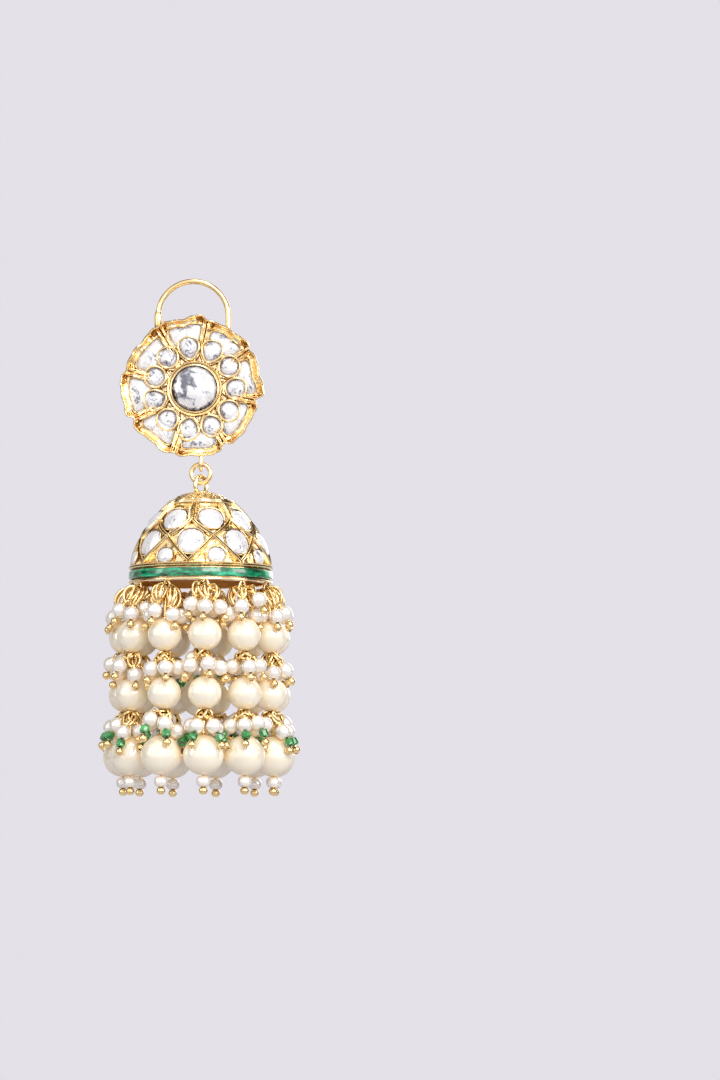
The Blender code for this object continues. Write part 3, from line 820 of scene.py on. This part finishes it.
def addCollar(stock, outline, centre, first, second, wall, height, foot):
    # The raised metal edge round a stone
    levels = ((wall * 1.25, foot), (wall * 1.1, height * 0.80), (wall * 0.9, height * 0.96),
              (wall * 0.55, height), (wall * 0.16, height * 0.95), (-0.04 * mm, height * 0.60))
    rings = [[centre + (1 + grow / math.hypot(x, y)) * (x * first + y * second) + rise * toFront
              for x, y in outline] for grow, rise in levels]
    # the foot and the slope into the stone get the dark gold of painted crease shade
    stock.addRings(rings, capped=False, creaseRows=(0, 4))


def makeFlowerSettings():
    collars, cuts = Stock(), Stock()
    draw = random.Random(11)
    for index, point in enumerate(flower["points"]):
        angle = math.radians(flower["ringStart"] + 360 * index / flower["ringCount"])
        inward, across = -towards(angle, xAxis, zAxis), towards(angle, zAxis, -xAxis)
        centre = flowerPoint(angle, flower["ringRadius"], 0)
        outline = pearOutline(flower["ringStone"], point, 32)
        addCollar(collars, outline, centre, inward, across, flower["ringWall"],
                  flower["ringHeight"], 0.1 * mm)
        cut = pearOutline(flower["ringStone"] * 1.02, point, 11)
        seat = centre + 1.18 * mm * toFront
        addCutStone(cuts, cut, seat, inward, across, 0.62 * mm, draw)

    middle = flowerPoint(0, 0, 0)
    size = flower["stone"]
    outline = [(size * math.cos(angle), size * math.sin(angle)) for angle in turnAngles(72)]
    rings = [[middle + share * (x * xAxis + y * zAxis) + rise * mm * toFront for x, y in outline]
             for share, rise in flower["collar"]]
    # the crease rows get the dark gold of painted crease shade
    collars.addRings(rings, capped=False, creaseRows=(0, 1, 6, 10, 11))
    makePiece(collars, "stone_collars", [gold, creaseShade], "stud")

    dome = Stock()
    rings = []
    for level, (share, rise) in enumerate(flower["facets"]):
        ring = []
        for step in range(flower["facetSides"]):
            # each row stands half a step on from the one before
            angle = 2 * math.pi * (step + 0.5 * (level % 2)) / flower["facetSides"]
            radius = share * size * (1 + uneven(draw, 0.03, level > 2))
            ring.append(middle + radius * towards(angle, xAxis, zAxis) + rise * mm * toFront)
        rings.append(ring)
    dome.addRings(rings)
    makePiece(dome, "centre_stone_cut", [largeStone], "stud", ["centre_stone"])
    return cuts, draw


def addPetalStones(cuts, draw):
    look, petals = flower["petalStone"], flower["petals"]
    collars = Stock()
    for index, petal in enumerate(petals):
        start = petal[0]
        span = (petals[(index + 1) % len(petals)][0] - start) % 360
        first, last = start + look["edge"] * span, start + (1 - look["edge"]) * span
        centre = flowerPoint(math.radians((first + last) / 2), 10.0 * mm, 0)
        corners = []
        for share, drop in flower["outerCorners"]:
            angle = math.radians(first + (last - first) * share)
            radius = petalAt(angle)[3] - (look["inset"] + drop) * mm
            corners.append(flowerPoint(angle, radius, 0) - centre)
        for share, radius in flower["innerCorners"]:
            angle = math.radians(first + (last - first) * share)
            corners.append(flowerPoint(angle, radius * mm, 0) - centre)
        outline = [(spot.x, spot.z) for spot in smoothRoute(corners, 4, joined=True)]
        addCollar(collars, outline, centre, xAxis, zAxis, look["wall"], look["height"],
                  look["foot"])
        seat = centre + look["seat"] * toFront
        addCutStone(cuts, outline[::3], seat, xAxis, zAxis, look["cut"], draw)
    makePiece(cuts, "flower_stones", [stone], "stud")
    makePiece(collars, "petal_collars", [gold, creaseShade], "stud")


makeFlowerBody()
flowerCuts, stoneDraw = makeFlowerSettings()
addPetalStones(flowerCuts, stoneDraw)
print("flower set")


# Jump ring

def makeJumpRing():
    ring = {"wire": 0.85 * mm, "sides": 18, "steps": 64}
    centre = (ringLow + ringHigh) / 2
    radius = (ringHigh.x - ringLow.x - ring["wire"]) / 2
    stock = Stock()
    addWire(stock, circle(centre, xAxis, zAxis, radius, ring["steps"]), ring["wire"] / 2,
            ring["sides"], joined=True)
    makePiece(stock, "jump_ring_polished", [wireGold], "link", ["jump_ring"])


makeJumpRing()


# Bell: a dome under a raised lattice, with set stones, a lip and eleven loops

bell = {
    "height": 15.0 * mm, "wall": 0.8 * mm, "rimRadius": 13.46 * mm, "bandRadius": 13.80 * mm,
    "bandGap": 0.3 * mm, "sides": 352, "rows": 120,
    # height and radius of the dome, in shares
    "outline": ((1.000, 0.070), (0.985, 0.200), (0.930, 0.330), (0.825, 0.495), (0.720, 0.610),
                (0.600, 0.715), (0.480, 0.805), (0.360, 0.870), (0.177, 0.957), (0.000, 1.000)),
    "firstRib": -8.0, "ribs": 8, "ribStep": 22.5,
    # how far down from the top the cap ends and the diagonals start, cross and end
    "capDrop": 2.2 * mm, "topDrop": 5.6 * mm, "crossDrop": 9.1 * mm, "footDrop": 14.0 * mm,
    # the lip under the band: the groove that the band sits in, the mouth and the edge
    "groove": 12.9 * mm, "mouth": 12.1 * mm, "lip": 0.45 * mm, "edge": 0.08 * mm,
    # the loop on top, which stands at an angle to the jump ring, and the collar round its foot
    "loopRise": 1.35 * mm, "loopTurn": 36, "loopRadius": 1.74 * mm, "loopWire": 0.44 * mm,
    "collar": ((1.35 * mm, -0.30 * mm), (1.30 * mm, 0.05 * mm), (1.0 * mm, 0.22 * mm),
               (0.5 * mm, 0.26 * mm), (0.3 * mm, -0.2 * mm)),
}
# The loops under the lip and the strings that hang from them
hang = {
    "count": 11, "firstTurn": 6.0, "radius": 13.15 * mm, "halfWidth": 0.80 * mm, "wire": 0.26 * mm,
    "shape": ((0.0, 0.1), (0.35, -0.35), (0.75, -1.0), (1.0, -1.7), (0.82, -2.2), (0.42, -2.48),
              (0.0, -2.56)),
}
rimZ = bandHigh.z + bell["bandGap"]
apexZ = rimZ + bell["height"]
denseOutline = smoothRoute([Vector((share * bell["rimRadius"], 0, rimZ + part * bell["height"]))
                            for part, share in bell["outline"]], 12)
outlineZ = [point.z for point in reversed(denseOutline)]
outlineR = [point.x for point in reversed(denseOutline)]


def around(turn, radius, height):
    # A point round the drop's axis, its turn in degrees from the front towards the right
    angle = math.radians(turn)
    return Vector((dropAxis.x + radius * math.sin(angle), dropAxis.y - radius * math.cos(angle),
                   height))


def ringAround(radius, height, count):
    return [around(360 * step / count, radius, height) for step in range(count)]


def sidewaysAt(turn):
    return around(turn + 90, 1, 0) - around(turn + 90, 0, 0)


def domeRadius(height):
    return float(np.interp(height, outlineZ, outlineR))


def domeNormal(turn, height):
    step = 0.2 * mm
    fall = (domeRadius(height + step) - domeRadius(height - step)) / (2 * step)
    angle = math.radians(turn)
    return Vector((math.sin(angle), -math.cos(angle), -fall)).normalized()


def ribDistance(turn, height):
    # Distance in mm to the nearest rib
    drop = apexZ - height
    ribStep = math.radians(bell["ribStep"]) * domeRadius(height) / mm
    across = (turn - bell["firstRib"]) / bell["ribStep"]
    if drop < bell["topDrop"]:
        return abs((across + 1) % 2 - 1) * ribStep
    # 0 where the diagonals start, 1 where they cross, 2 where they end
    drops = [bell["topDrop"], bell["crossDrop"], bell["footDrop"]]
    row = float(np.interp(drop, drops, [0.0, 1.0, 2.0]))
    rising = abs((across - row + 1) % 2 - 1)
    falling = abs((across + row + 1) % 2 - 1)
    return min(rising, falling) * ribStep * 0.75


def domeRelief(turn, height):
    # How far the skin stands out: leaves and pebbles on the cap, hollows beside the ribs below
    place = around(turn, domeRadius(height), height)
    drop = (apexZ - height) / mm
    if apexZ - height < bell["capDrop"]:
        leaf = abs(math.sin(math.radians(turn) * 7 + 1.1 * drop))
        pebbles = noise.voronoi(place * 900)[0][0]
        return ((0.34 * leaf ** 0.6 - 0.28 * pebbles - 0.05) * mm
                + rough(place, 2200, 0.06 * mm))
    away = ribDistance(turn, height)
    sink = 0.22 * clamp((away - 0.25) / 0.5) + 0.30 * math.exp(-((away - 0.50) / 0.18) ** 2)
    # the deep corner between two ribs and the foot
    across = ((turn - bell["firstRib"]) / bell["ribStep"]) % 2
    aside = abs(across - 1) * math.radians(bell["ribStep"]) * domeRadius(height) / mm
    wedge = clamp((away - 0.42) / 0.15) * clamp((aside - 1.85) / 0.15)
    wedge *= clamp((drop - 12.4) / 0.2) * clamp((14.25 - drop) / 0.12)
    grain = rough(place, 1100, 0.09 * mm) + rough(place, 2600, 0.04 * mm)
    return -sink * mm - 0.60 * wedge * mm + grain


def makeBellBody():
    sides = bell["sides"]
    rows = []
    total = len(denseOutline)
    heights = np.interp(np.linspace(0, total - 1, bell["rows"]), range(total),
                        [point.z for point in denseOutline])
    for height in heights:
        height = min(float(height), apexZ - 0.02 * mm)
        # no relief at the top and at the rim
        fade = min(1.0, (apexZ - height) / (0.5 * mm), (height - rimZ) / (0.3 * mm))
        row = []
        for step in range(sides):
            turn = 360 * step / sides
            spot = around(turn, domeRadius(height), height)
            row.append(spot + max(0.0, fade) * domeRelief(turn, height)
                       * domeNormal(turn, height))
        rows.append(row)
    band, groove, mouth, edge = [bell[name] for name in ("bandRadius", "groove", "mouth", "edge")]
    bandFoot = bandLow.z - bell["bandGap"]
    lip = bandFoot - bell["lip"]
    stepsDown = ((groove, rimZ), (groove, bandFoot), (band - edge, bandFoot),
                 (band, bandFoot - edge), (band, lip + 2 * edge), (band - edge, lip),
                 (mouth + edge, lip), (mouth, lip + edge))
    rows += [ringAround(radius, height, sides) for radius, height in stepsDown]
    hollowHeight = bell["height"] - bell["wall"]
    hollowRadius = bell["rimRadius"] - 1.3 * bell["wall"]
    inside = smoothRoute([Vector((share * hollowRadius, 0, rimZ + part * hollowHeight))
                          for part, share in reversed(bell["outline"])], 4)
    for point in inside:
        middle = around(0, 0, point.z)
        rows.append([spot + rough(spot, 420, 0.10 * mm) * (spot - middle).normalized()
                     for spot in ringAround(max(point.x, 0.2 * mm), point.z, sides)])
    stock = Stock()
    stock.addRings(rows)
    innerStart = (len(heights) + len(stepsDown) - 1) * sides
    stock.finish[innerStart:] = [1] * (len(stock.finish) - innerStart)

    facing = towards(math.radians(bell["loopTurn"]), yAxis, xAxis)
    top = Vector((dropAxis.x, dropAxis.y, apexZ + bell["loopRise"]))
    addWire(stock, circle(top, facing, zAxis, bell["loopRadius"], 48), bell["loopWire"], 16,
            joined=True)
    addTurned(stock, bell["collar"], Vector((dropAxis.x, dropAxis.y, apexZ)), zAxis, 36)
    for index in range(hang["count"]):
        turn = hang["firstTurn"] + 360 * index / hang["count"]
        route = mirroredLoop(around(turn, hang["radius"], lip + 0.25 * mm),
                             hang["halfWidth"] * sidewaysAt(turn), hang["shape"],
                             hang["shape"][-2:0:-1], mm, 4)
        addWire(stock, route, hang["wire"], 10, joined=True)
    makePiece(stock, "bell_body", [hammered, innerGold], "drop", ["bell"])


# Section of a rib: a double line with a groove between, in shares of its width and in mm
ribSection = ((-0.62, -0.60), (-0.60, 0.10), (-0.50, 0.34), (-0.32, 0.42), (-0.12, 0.34),
              (0.0, 0.08), (0.12, 0.34), (0.32, 0.42), (0.50, 0.34), (0.60, 0.10), (0.62, -0.60))


def addRib(stock, path, width, joined=False, creaseSteps=(4, 5)):
    # A raised double line that follows turns and heights on the dome
    spots = [around(turn, domeRadius(height), height) for turn, height in path]
    rings = []
    for index, (turn, height) in enumerate(path):
        before, after = neighbours(spots, index, joined)
        up = domeNormal(turn, height)
        side = (after - before).cross(up).normalized()
        grain = 1 + rough(spots[index], 700, 0.12)
        rings.append([spots[index] + width * across * mm * side + grain * rise * mm * up
                      for across, rise in ribSection])
    # the steps named as creases, into the groove, get the dark gold of painted crease shade
    stock.addRings(rings, joined=joined, creaseSteps=creaseSteps)


def makeBellLattice():
    lattice = {"upright": 0.72, "diagonal": 0.62, "capRing": 0.75, "footRing": 0.62,
               "uprightSteps": 12, "diagonalSteps": 40, "ringSteps": 144, "bow": 1.3}
    stock = Stock()
    cap, top, cross, foot = [apexZ - bell[name]
                             for name in ("capDrop", "topDrop", "crossDrop", "footDrop")]
    ribStep = bell["ribStep"]
    for rib in range(bell["ribs"]):
        turn = bell["firstRib"] + 360 * rib / bell["ribs"]
        steps = lattice["uprightSteps"]
        upright = [(turn, cap + (top - 0.3 * mm - cap) * step / steps)
                   for step in range(steps + 1)]
        addRib(stock, upright, lattice["upright"], creaseSteps=())
        for side in (-1, 1):
            path = []
            for step in range(lattice["diagonalSteps"] + 1):
                share = step / lattice["diagonalSteps"]
                if share < 0.5:
                    height = top + (cross - top) * share * 2
                    offset = ribStep * (share * 2) ** lattice["bow"]
                else:
                    height = cross + (foot - cross) * (share * 2 - 1)
                    offset = ribStep + ribStep * (share * 2 - 1)
                path.append((turn + side * offset, height))
            addRib(stock, path, lattice["diagonal"])
    steps = lattice["ringSteps"]
    for height, name in ((cap, "capRing"), (rimZ + 0.42 * mm, "footRing")):
        addRib(stock, [(360 * step / steps, height) for step in range(steps)], lattice[name],
               joined=True)
    makePiece(stock, "bell_lattice", [gold, creaseShade], "drop")


def onDome(turn, centreZ, x, y, lift):
    # A spot x to the side and y up the dome from a centre, and lifted off its skin
    height = min(centreZ + y * 0.93, apexZ - 0.1 * mm)
    radius = domeRadius(height)
    turn += math.degrees(x / radius)
    return around(turn, radius, height) + lift * domeNormal(turn, height)


def makeBellStones():
    settings = {
        # turn from a rib, drop from the top, half width, half height, rise, point
        "rows": ((22.5, 5.75, 2.50, 2.20, 0.55, 0.5), (1.0, 10.2, 2.62, 2.62, 0.60, 0.10),
                 (23.5, 12.90, 1.72, 1.60, 0.50, 0.0)),
        # share of the outline and lift in mm of the collar's rows and the stone's
        "collar": ((1.13, -0.45), (1.12, 0.06), (1.08, 0.16), (1.03, 0.12), (0.99, -0.12)),
        "cut": ((1.0, -0.4), (1.0, 0.0), (0.82, 0.30), (0.52, 0.52), (0.20, 0.60)),
    }
    collars, cuts = Stock(), Stock()
    draw = random.Random(5)
    for shift, drop, halfWidth, halfHeight, rise, point in settings["rows"]:
        centreZ = apexZ - drop * mm
        outline = []
        for angle in turnAngles(28):
            narrow = 1 - point * 0.30 * max(0.0, -math.sin(angle))
            square = 1 - 0.02 * math.cos(4 * angle)
            outline.append((halfWidth * narrow * square * math.cos(angle) * mm,
                            halfHeight * square * math.sin(angle) * mm))
        for index in range(bell["ribs"]):
            turn = bell["firstRib"] + 360 / bell["ribs"] * index + shift

            def spotAt(x, y, lift):
                return onDome(turn, centreZ, x, y, lift * mm)

            rings = [[spotAt(share * x, share * y, lift) for x, y in outline]
                     for share, lift in settings["collar"]]
            # the crease rows get the dark gold of painted crease shade
            collars.addRings(rings, capped=False, creaseRows=(0, 3))
            levels = [(share, lift * rise / 0.6) for share, lift in settings["cut"]]
            addFacets(cuts, outline[::2], levels, spotAt, 0.08, 0.07, draw)
    makePiece(collars, "bell_collars", [gold, creaseShade], "drop")
    makePiece(cuts, "bell_stones", [paleStone], "drop")


def makeBand():
    band = {"thickness": 0.6 * mm, "swell": 0.03 * mm, "sides": 180}
    outer, low, high = bell["bandRadius"], bandLow.z, bandHigh.z
    inner = outer - band["thickness"]
    outline = ((inner, high), (outer - 0.16 * mm, high), (outer - 0.05 * mm, high - 0.10 * mm),
               (outer, high - 0.30 * mm), (outer + band["swell"], (low + high) / 2),
               (outer, low + 0.30 * mm), (outer - 0.05 * mm, low + 0.10 * mm),
               (outer - 0.16 * mm, low), (inner, low))
    stock = Stock()
    stock.addRings([ringAround(radius, height, band["sides"]) for radius, height in outline],
                   joined=True)
    makePiece(stock, "enamel_ring", [enamel], "drop", ["enamel_band"])


makeBellBody()
makeBellLattice()
makeBellStones()
makeBand()
print("bell raised")


# Strings: pearls, and over each a bunch of seed pearls on wire eyes

string = {
    # radii of the wires and beads, and heights of the end bead and ball
    "wire": 0.25 * mm, "bold": 0.29 * mm, "seed": 1.48 * mm, "ball": 0.78 * mm, "bead": 0.85 * mm,
    "endBead": 1.32 * mm, "endBeadHeight": 2.10 * mm, "endBall": 0.84 * mm,
    "endBallHeight": 1.55 * mm, "ballReach": 0.66 * mm, "topHook": 0.825 * mm,
    "pins": 5, "rounds": 160, "slack": 0.02 * mm, "pearlGap": 0.04 * mm, "widest": 19.6 * mm,
    # reach in mm, share of the flare, rise over the pearl's radius in mm, kind of each bead
    "shortPin": ((2.75, 1.0, 1.05, "seed"), (3.55, 1.6, -0.80, "ball")),
    "longPin": ((2.85, 1.0, 1.00, "seed"), (3.85, 1.3, -0.65, "bead"), (4.35, 1.5, -1.85, "ball")),
    # bunches turned on, so that one of their pins comes to the front
    "turned": {(1, 0): 36},
    # sideways shares of the bow and shares of the length, out on the front and back behind
    "eye": ((0.0, -0.02), (0.36, -0.14), (0.78, 0.02), (1.0, 0.32), (0.88, 0.66), (0.48, 0.92),
            (0.08, 1.0)),
    "eyeBehind": ((-0.50, 0.86), (-1.0, 0.50), (-0.60, 0.06)),
    # half of the small loop under a pearl, in mm
    "loop": ((0.12, 0.0), (0.45, -0.42), (0.72, -0.80), (0.60, -1.18), (0.25, -1.38),
             (0.0, -1.42)),
    "cap": ((0.95 * mm, -0.28 * mm), (0.80 * mm, 0.02 * mm), (0.42 * mm, 0.16 * mm),
            (0.30 * mm, 0.15 * mm)),
    # share of the green bead's size for its radius and height, after its bore
    "beadBore": 0.32 * mm,
    "beadEdge": ((0.72, -0.86), (0.94, -0.70), (1.0, -0.45), (1.0, 0.45), (0.94, 0.70),
                 (0.72, 0.86)),
}
tierNames = ("upper", "middle", "lower")


def gatherBunches():
    # One entry for each pearl with a bunch over it
    bunches = []
    for index in range(hang["count"]):
        turn = hang["firstTurn"] + 360 * index / hang["count"]
        above = around(turn, hang["radius"], bandLow.z - 0.75 * mm - 2.0 * mm)
        for tier, name in enumerate(tierNames):
            centre, radius = ballAt(f"{name}_pearl_{index + 1:02d}")
            bunches.append({"string": index, "tier": tier, "turn": turn, "centre": centre,
                            "radius": radius, "above": above})
            above = centre - (radius + 0.75 * mm) * zAxis
    centre, radius = ballAt("centre_pearl_lower")
    above = Vector((centre.x, centre.y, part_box("centre_pearl_lower")[1].z + 5.0 * mm))
    bunches.append({"string": hang["count"], "tier": 2, "turn": 0.0, "centre": centre,
                    "radius": radius, "above": above})
    return bunches


def pushApart(spots, sizes, others, otherSizes):
    # How far each bead has to move to stand clear of the others
    gaps = spots[:, None, :] - others[None, :, :]
    far = np.linalg.norm(gaps, axis=2) + 1e-9
    push = np.clip(sizes[:, None] + otherSizes[None, :] - far, 0, None)
    return (gaps / far[:, :, None] * push[:, :, None]).sum(axis=1)


def placeBeads(bunches):
    # Each bead starts where its pin would hold it and is then moved clear of its neighbours
    draw = random.Random(3)
    spots, sizes = [], []
    for bunch in bunches:
        tier, radius = bunch["tier"], bunch["radius"]
        base = bunch["turn"] + draw.choice((0, 36, 36)) + draw.uniform(-12, 12)
        base += string["turned"].get((bunch["string"], tier), 0)
        bunch["pins"] = []
        for pin in range(string["pins"]):
            angle = math.radians(base + 360 / string["pins"] * pin + draw.uniform(-16, 16))
            outward = Vector((math.sin(angle), -math.cos(angle), 0))
            slack = (draw.uniform(-1.0, 0.9) + (1.4 if draw.random() < 0.22 else 0.0)) * mm
            flare = draw.uniform(-0.15, 0.35) * mm
            beads = []
            for reach, share, rise, kind in string["shortPin" if tier < 2 else "longPin"]:
                beads.append((len(spots), kind))
                spots.append(bunch["centre"] + (reach * mm + share * flare) * outward
                             + (radius + rise * mm + slack) * zAxis)
                sizes.append(string[kind] + string["slack"])
            bunch["pins"].append({"beads": beads, "outward": outward})
    fixed = [(bunch["centre"], bunch["radius"]) for bunch in bunches]
    fixed.append(ballAt("centre_pearl_upper"))
    fixedSpots = np.array([tuple(spot) for spot, radius in fixed])
    fixedSizes = np.array([radius + string["pearlGap"] for spot, radius in fixed])
    beads = np.array([tuple(spot) for spot in spots])
    home = beads.copy()
    sizes = np.array(sizes)
    middle = np.array([dropAxis.x, dropAxis.y])
    for turn in range(string["rounds"]):
        beads += 0.06 * (home - beads) * (1 - turn / string["rounds"])
        beads += 0.5 * pushApart(beads, sizes, beads, sizes)
        beads += pushApart(beads, sizes, fixedSpots, fixedSizes)
        # none swings out past the outermost pearls by more than a little
        aside = beads[:, :2] - middle
        reach = np.linalg.norm(aside, axis=1)
        past = np.clip(reach + sizes - string["widest"], 0, None)
        beads[:, :2] -= aside * (past / reach)[:, None]
    return [Vector(spot) for spot in beads]


def addEye(stock, top, foot, outward, bulge, back, thickness):
    # A wire eye: up from the foot, over the wire above and back down behind
    down = foot - top
    length = down.length
    along = down.normalized()
    out = (outward - along * outward.dot(along)).normalized()
    route = [top + x * width * out + z * length * along
             for shape, width in ((string["eye"], bulge), (string["eyeBehind"], back))
             for x, z in shape]
    addWire(stock, smoothRoute(route, 4, joined=True), thickness, 9, joined=True)


def addWrap(stock, start, along):
    # The turns of thin wire at the foot of the eyes
    wrap = {"turns": 2.2, "radius": 0.42 * mm, "pitch": 0.40 * mm, "steps": 10}
    first = along.orthogonal().normalized()
    second = along.cross(first)
    route = []
    for step in range(int(wrap["turns"] * wrap["steps"]) + 1):
        angle = 2 * math.pi * step / wrap["steps"]
        rise = step / wrap["steps"] * wrap["pitch"]
        route.append(start + rise * along + wrap["radius"] * towards(angle, first, second))
    addWire(stock, route, string["wire"] * 0.85, 6)


def addPinBeads(goldStock, seeds, greens, places, kinds, neck, draw):
    for number, (spot, kind) in enumerate(zip(places, kinds)):
        ahead = places[number + 1] if number + 1 < len(places) else spot
        behind = places[number - 1] if number else neck
        axis = (ahead - behind).normalized()
        size = string[kind]
        if kind == "seed":
            squash = 1 + draw.uniform(-0.05, 0.04)
            addBead(seeds, spot, axis, size, 2 * size * squash, 0.3 * mm, 12, 20)
        elif kind == "ball":
            addBead(goldStock, spot, axis, size, 1.9 * size, 0.27 * mm, 9, 16)
        else:
            bore = string["beadBore"]
            outline = [(radius * size, height * size) for radius, height in string["beadEdge"]]
            outline = [(bore, -0.8 * size)] + outline + [(bore, 0.8 * size)]
            addTurned(greens, outline, spot, axis, 9, joined=True, flat=True)


def addBunch(goldStock, seeds, greens, bunch, spots, draw):
    tier, centre, radius = bunch["tier"], bunch["centre"], bunch["radius"]
    hub = bunch["above"].copy()
    foot = centre + (radius + 2.6 * mm) * zAxis
    for pin in bunch["pins"]:
        places = [spots[number] for number, kind in pin["beads"]]
        kinds = [kind for number, kind in pin["beads"]]
        seedSpot, last = places[0], places[-1]
        inward = (last - seedSpot).normalized()
        neck = seedSpot - (string["seed"] + 0.25 * mm) * inward
        neck = neck + 0.25 * ((centre - neck) * Vector((1, 1, 0)))
        bow = pin["outward"]
        side = Vector((-bow.y, bow.x, 0))
        for lean in ((-0.36, 0.36) if tier else (-0.45, 0.0, 0.45)):
            top = hub + 0.25 * mm * bow + draw.uniform(-0.15, 0.30) * mm * zAxis
            tip = neck + lean * 0.6 * mm * side
            if tier:
                # small open links, turned to face any way
                swing = draw.uniform(-0.5, 0.9) * bow + math.copysign(1, lean) * side
                addEye(goldStock, top + 0.3 * mm * zAxis, tip, swing.normalized(),
                       draw.uniform(0.8, 1.3) * mm, 0.55 * mm, string["wire"])
            else:
                # long eyes that bow outwards like the ribs of a pumpkin
                swing = bow + (lean + draw.uniform(-0.15, 0.15)) * side
                addEye(goldStock, top, tip, swing.normalized(),
                       draw.uniform(1.4, 2.2) * mm, 0.3 * mm, string["bold"])
        run = (seedSpot - neck).normalized()
        addWrap(goldStock, neck - 0.25 * mm * run, run)
        end = last + (string["ball"] + 0.10 * mm) * inward
        addWire(goldStock, [neck - 0.3 * mm * run, seedSpot] + places[1:-1] + [end],
                string["wire"] * 0.8, 6)
        addPinBeads(goldStock, seeds, greens, places, kinds, neck, draw)
    # the long eye of the pearl's own pin, with a small cap on the pearl
    addTurned(goldStock, string["cap"], centre + (radius + 0.10 * mm) * zAxis, zAxis, 16)
    addWire(goldStock, [hub, hub * 0.4 + foot * 0.6, centre + radius * zAxis], string["wire"])


def addPearlLoop(stock, centre, radius, turn):
    # The wire comes out under the pearl as a small hanging loop
    top = centre - (radius - 0.1 * mm) * zAxis
    route = mirroredLoop(top, mm * sidewaysAt(turn), string["loop"], string["loop"][-2::-1],
                         mm, 3)
    addWire(stock, route, string["wire"], joined=True)


def addStringEnd(goldStock, whites, centre, radius):
    half = string["endBeadHeight"] / 2
    bead = centre - (radius + 0.08 * mm + half) * zAxis
    outline = []
    for step in range(15):
        angle = math.radians(18 + 144 * step / 14)
        full = abs(math.cos(angle)) ** 0.8 * math.copysign(1, math.cos(angle))
        outline.append((string["endBead"] * math.sin(angle) ** 0.7, half * full))
    outline += [(0.3 * mm, -0.9 * half), (0.3 * mm, 0.9 * half)]
    addTurned(whites, outline, bead, zAxis, 28, joined=True)
    ball = bead - (half + string["ballReach"]) * zAxis
    addBead(goldStock, ball, zAxis, string["endBall"], string["endBallHeight"], 0.24 * mm, 10, 20)
    addWire(goldStock, [centre - radius * zAxis, ball - string["ballReach"] * zAxis], 0.2 * mm)


def addCentreWire(stock, above):
    # A hook in the staple and the wire from it through the upper pearl to the bunch below
    low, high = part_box("centre_wire")
    pearlLow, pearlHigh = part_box("centre_pearl_upper")
    top = Vector((dropAxis.x, dropAxis.y, high.z - string["wire"]))
    hook = string["topHook"]
    routes = ((circle(top - hook * zAxis, yAxis, zAxis, hook, 24), True),
              ([top - 2 * hook * zAxis, Vector((top.x, top.y, pearlHigh.z))], False),
              ([Vector((top.x, top.y, pearlLow.z)), above], False))
    for route, joined in routes:
        addWire(stock, route, string["wire"], 10, joined=joined)


def makeStrings():
    bunches = gatherBunches()
    spots = placeBeads(bunches)
    draw = random.Random(17)
    seeds = [Stock() for name in tierNames]
    greens, whites = Stock(), Stock()
    for index in range(hang["count"] + 1):
        goldStock = Stock()
        own = [bunch for bunch in bunches if bunch["string"] == index]
        for bunch in own:
            addBunch(goldStock, seeds[bunch["tier"]], greens, bunch, spots, draw)
            if bunch["tier"] < 2:
                addPearlLoop(goldStock, bunch["centre"], bunch["radius"], bunch["turn"])
        addStringEnd(goldStock, whites, own[-1]["centre"], own[-1]["radius"])
        if index < hang["count"]:
            name, replaced = f"string_wires_{index + 1:02d}", f"strand_wire_{index + 1:02d}"
        else:
            name, replaced = "centre_wires", "centre_wire"
            addCentreWire(goldStock, own[0]["above"])
        makePiece(goldStock, name, [wireGold], "drop", [replaced])
    for name, stock in zip(tierNames, seeds):
        makePiece(stock, f"seed_pearls_{name}", [seedPearl], "drop")
    makePiece(greens, "green_beads", [greenGlass], "drop")
    makePiece(whites, "end_beads", [seedPearl], "drop")


def makePearls():
    smooth = {"grow": 1.01, "squash": 0.015, "bore": 0.42 * mm, "rows": 28, "sides": 44}
    names = [f"{name}_pearl_{index + 1:02d}" for name in tierNames
             for index in range(hang["count"])]
    names += ["centre_pearl_upper", "centre_pearl_lower"]
    draw = random.Random(29)
    for name in names:
        centre, radius = ballAt(name)
        radius *= smooth["grow"]
        height = 2 * radius * (1 - smooth["squash"] * draw.random())
        stock = Stock()
        addBead(stock, centre, zAxis, radius, height, smooth["bore"], smooth["rows"],
                smooth["sides"])
        makePiece(stock, name + "_smooth", [pearl], "drop", [name])


makeStrings()
makePearls()
print("strings hung")
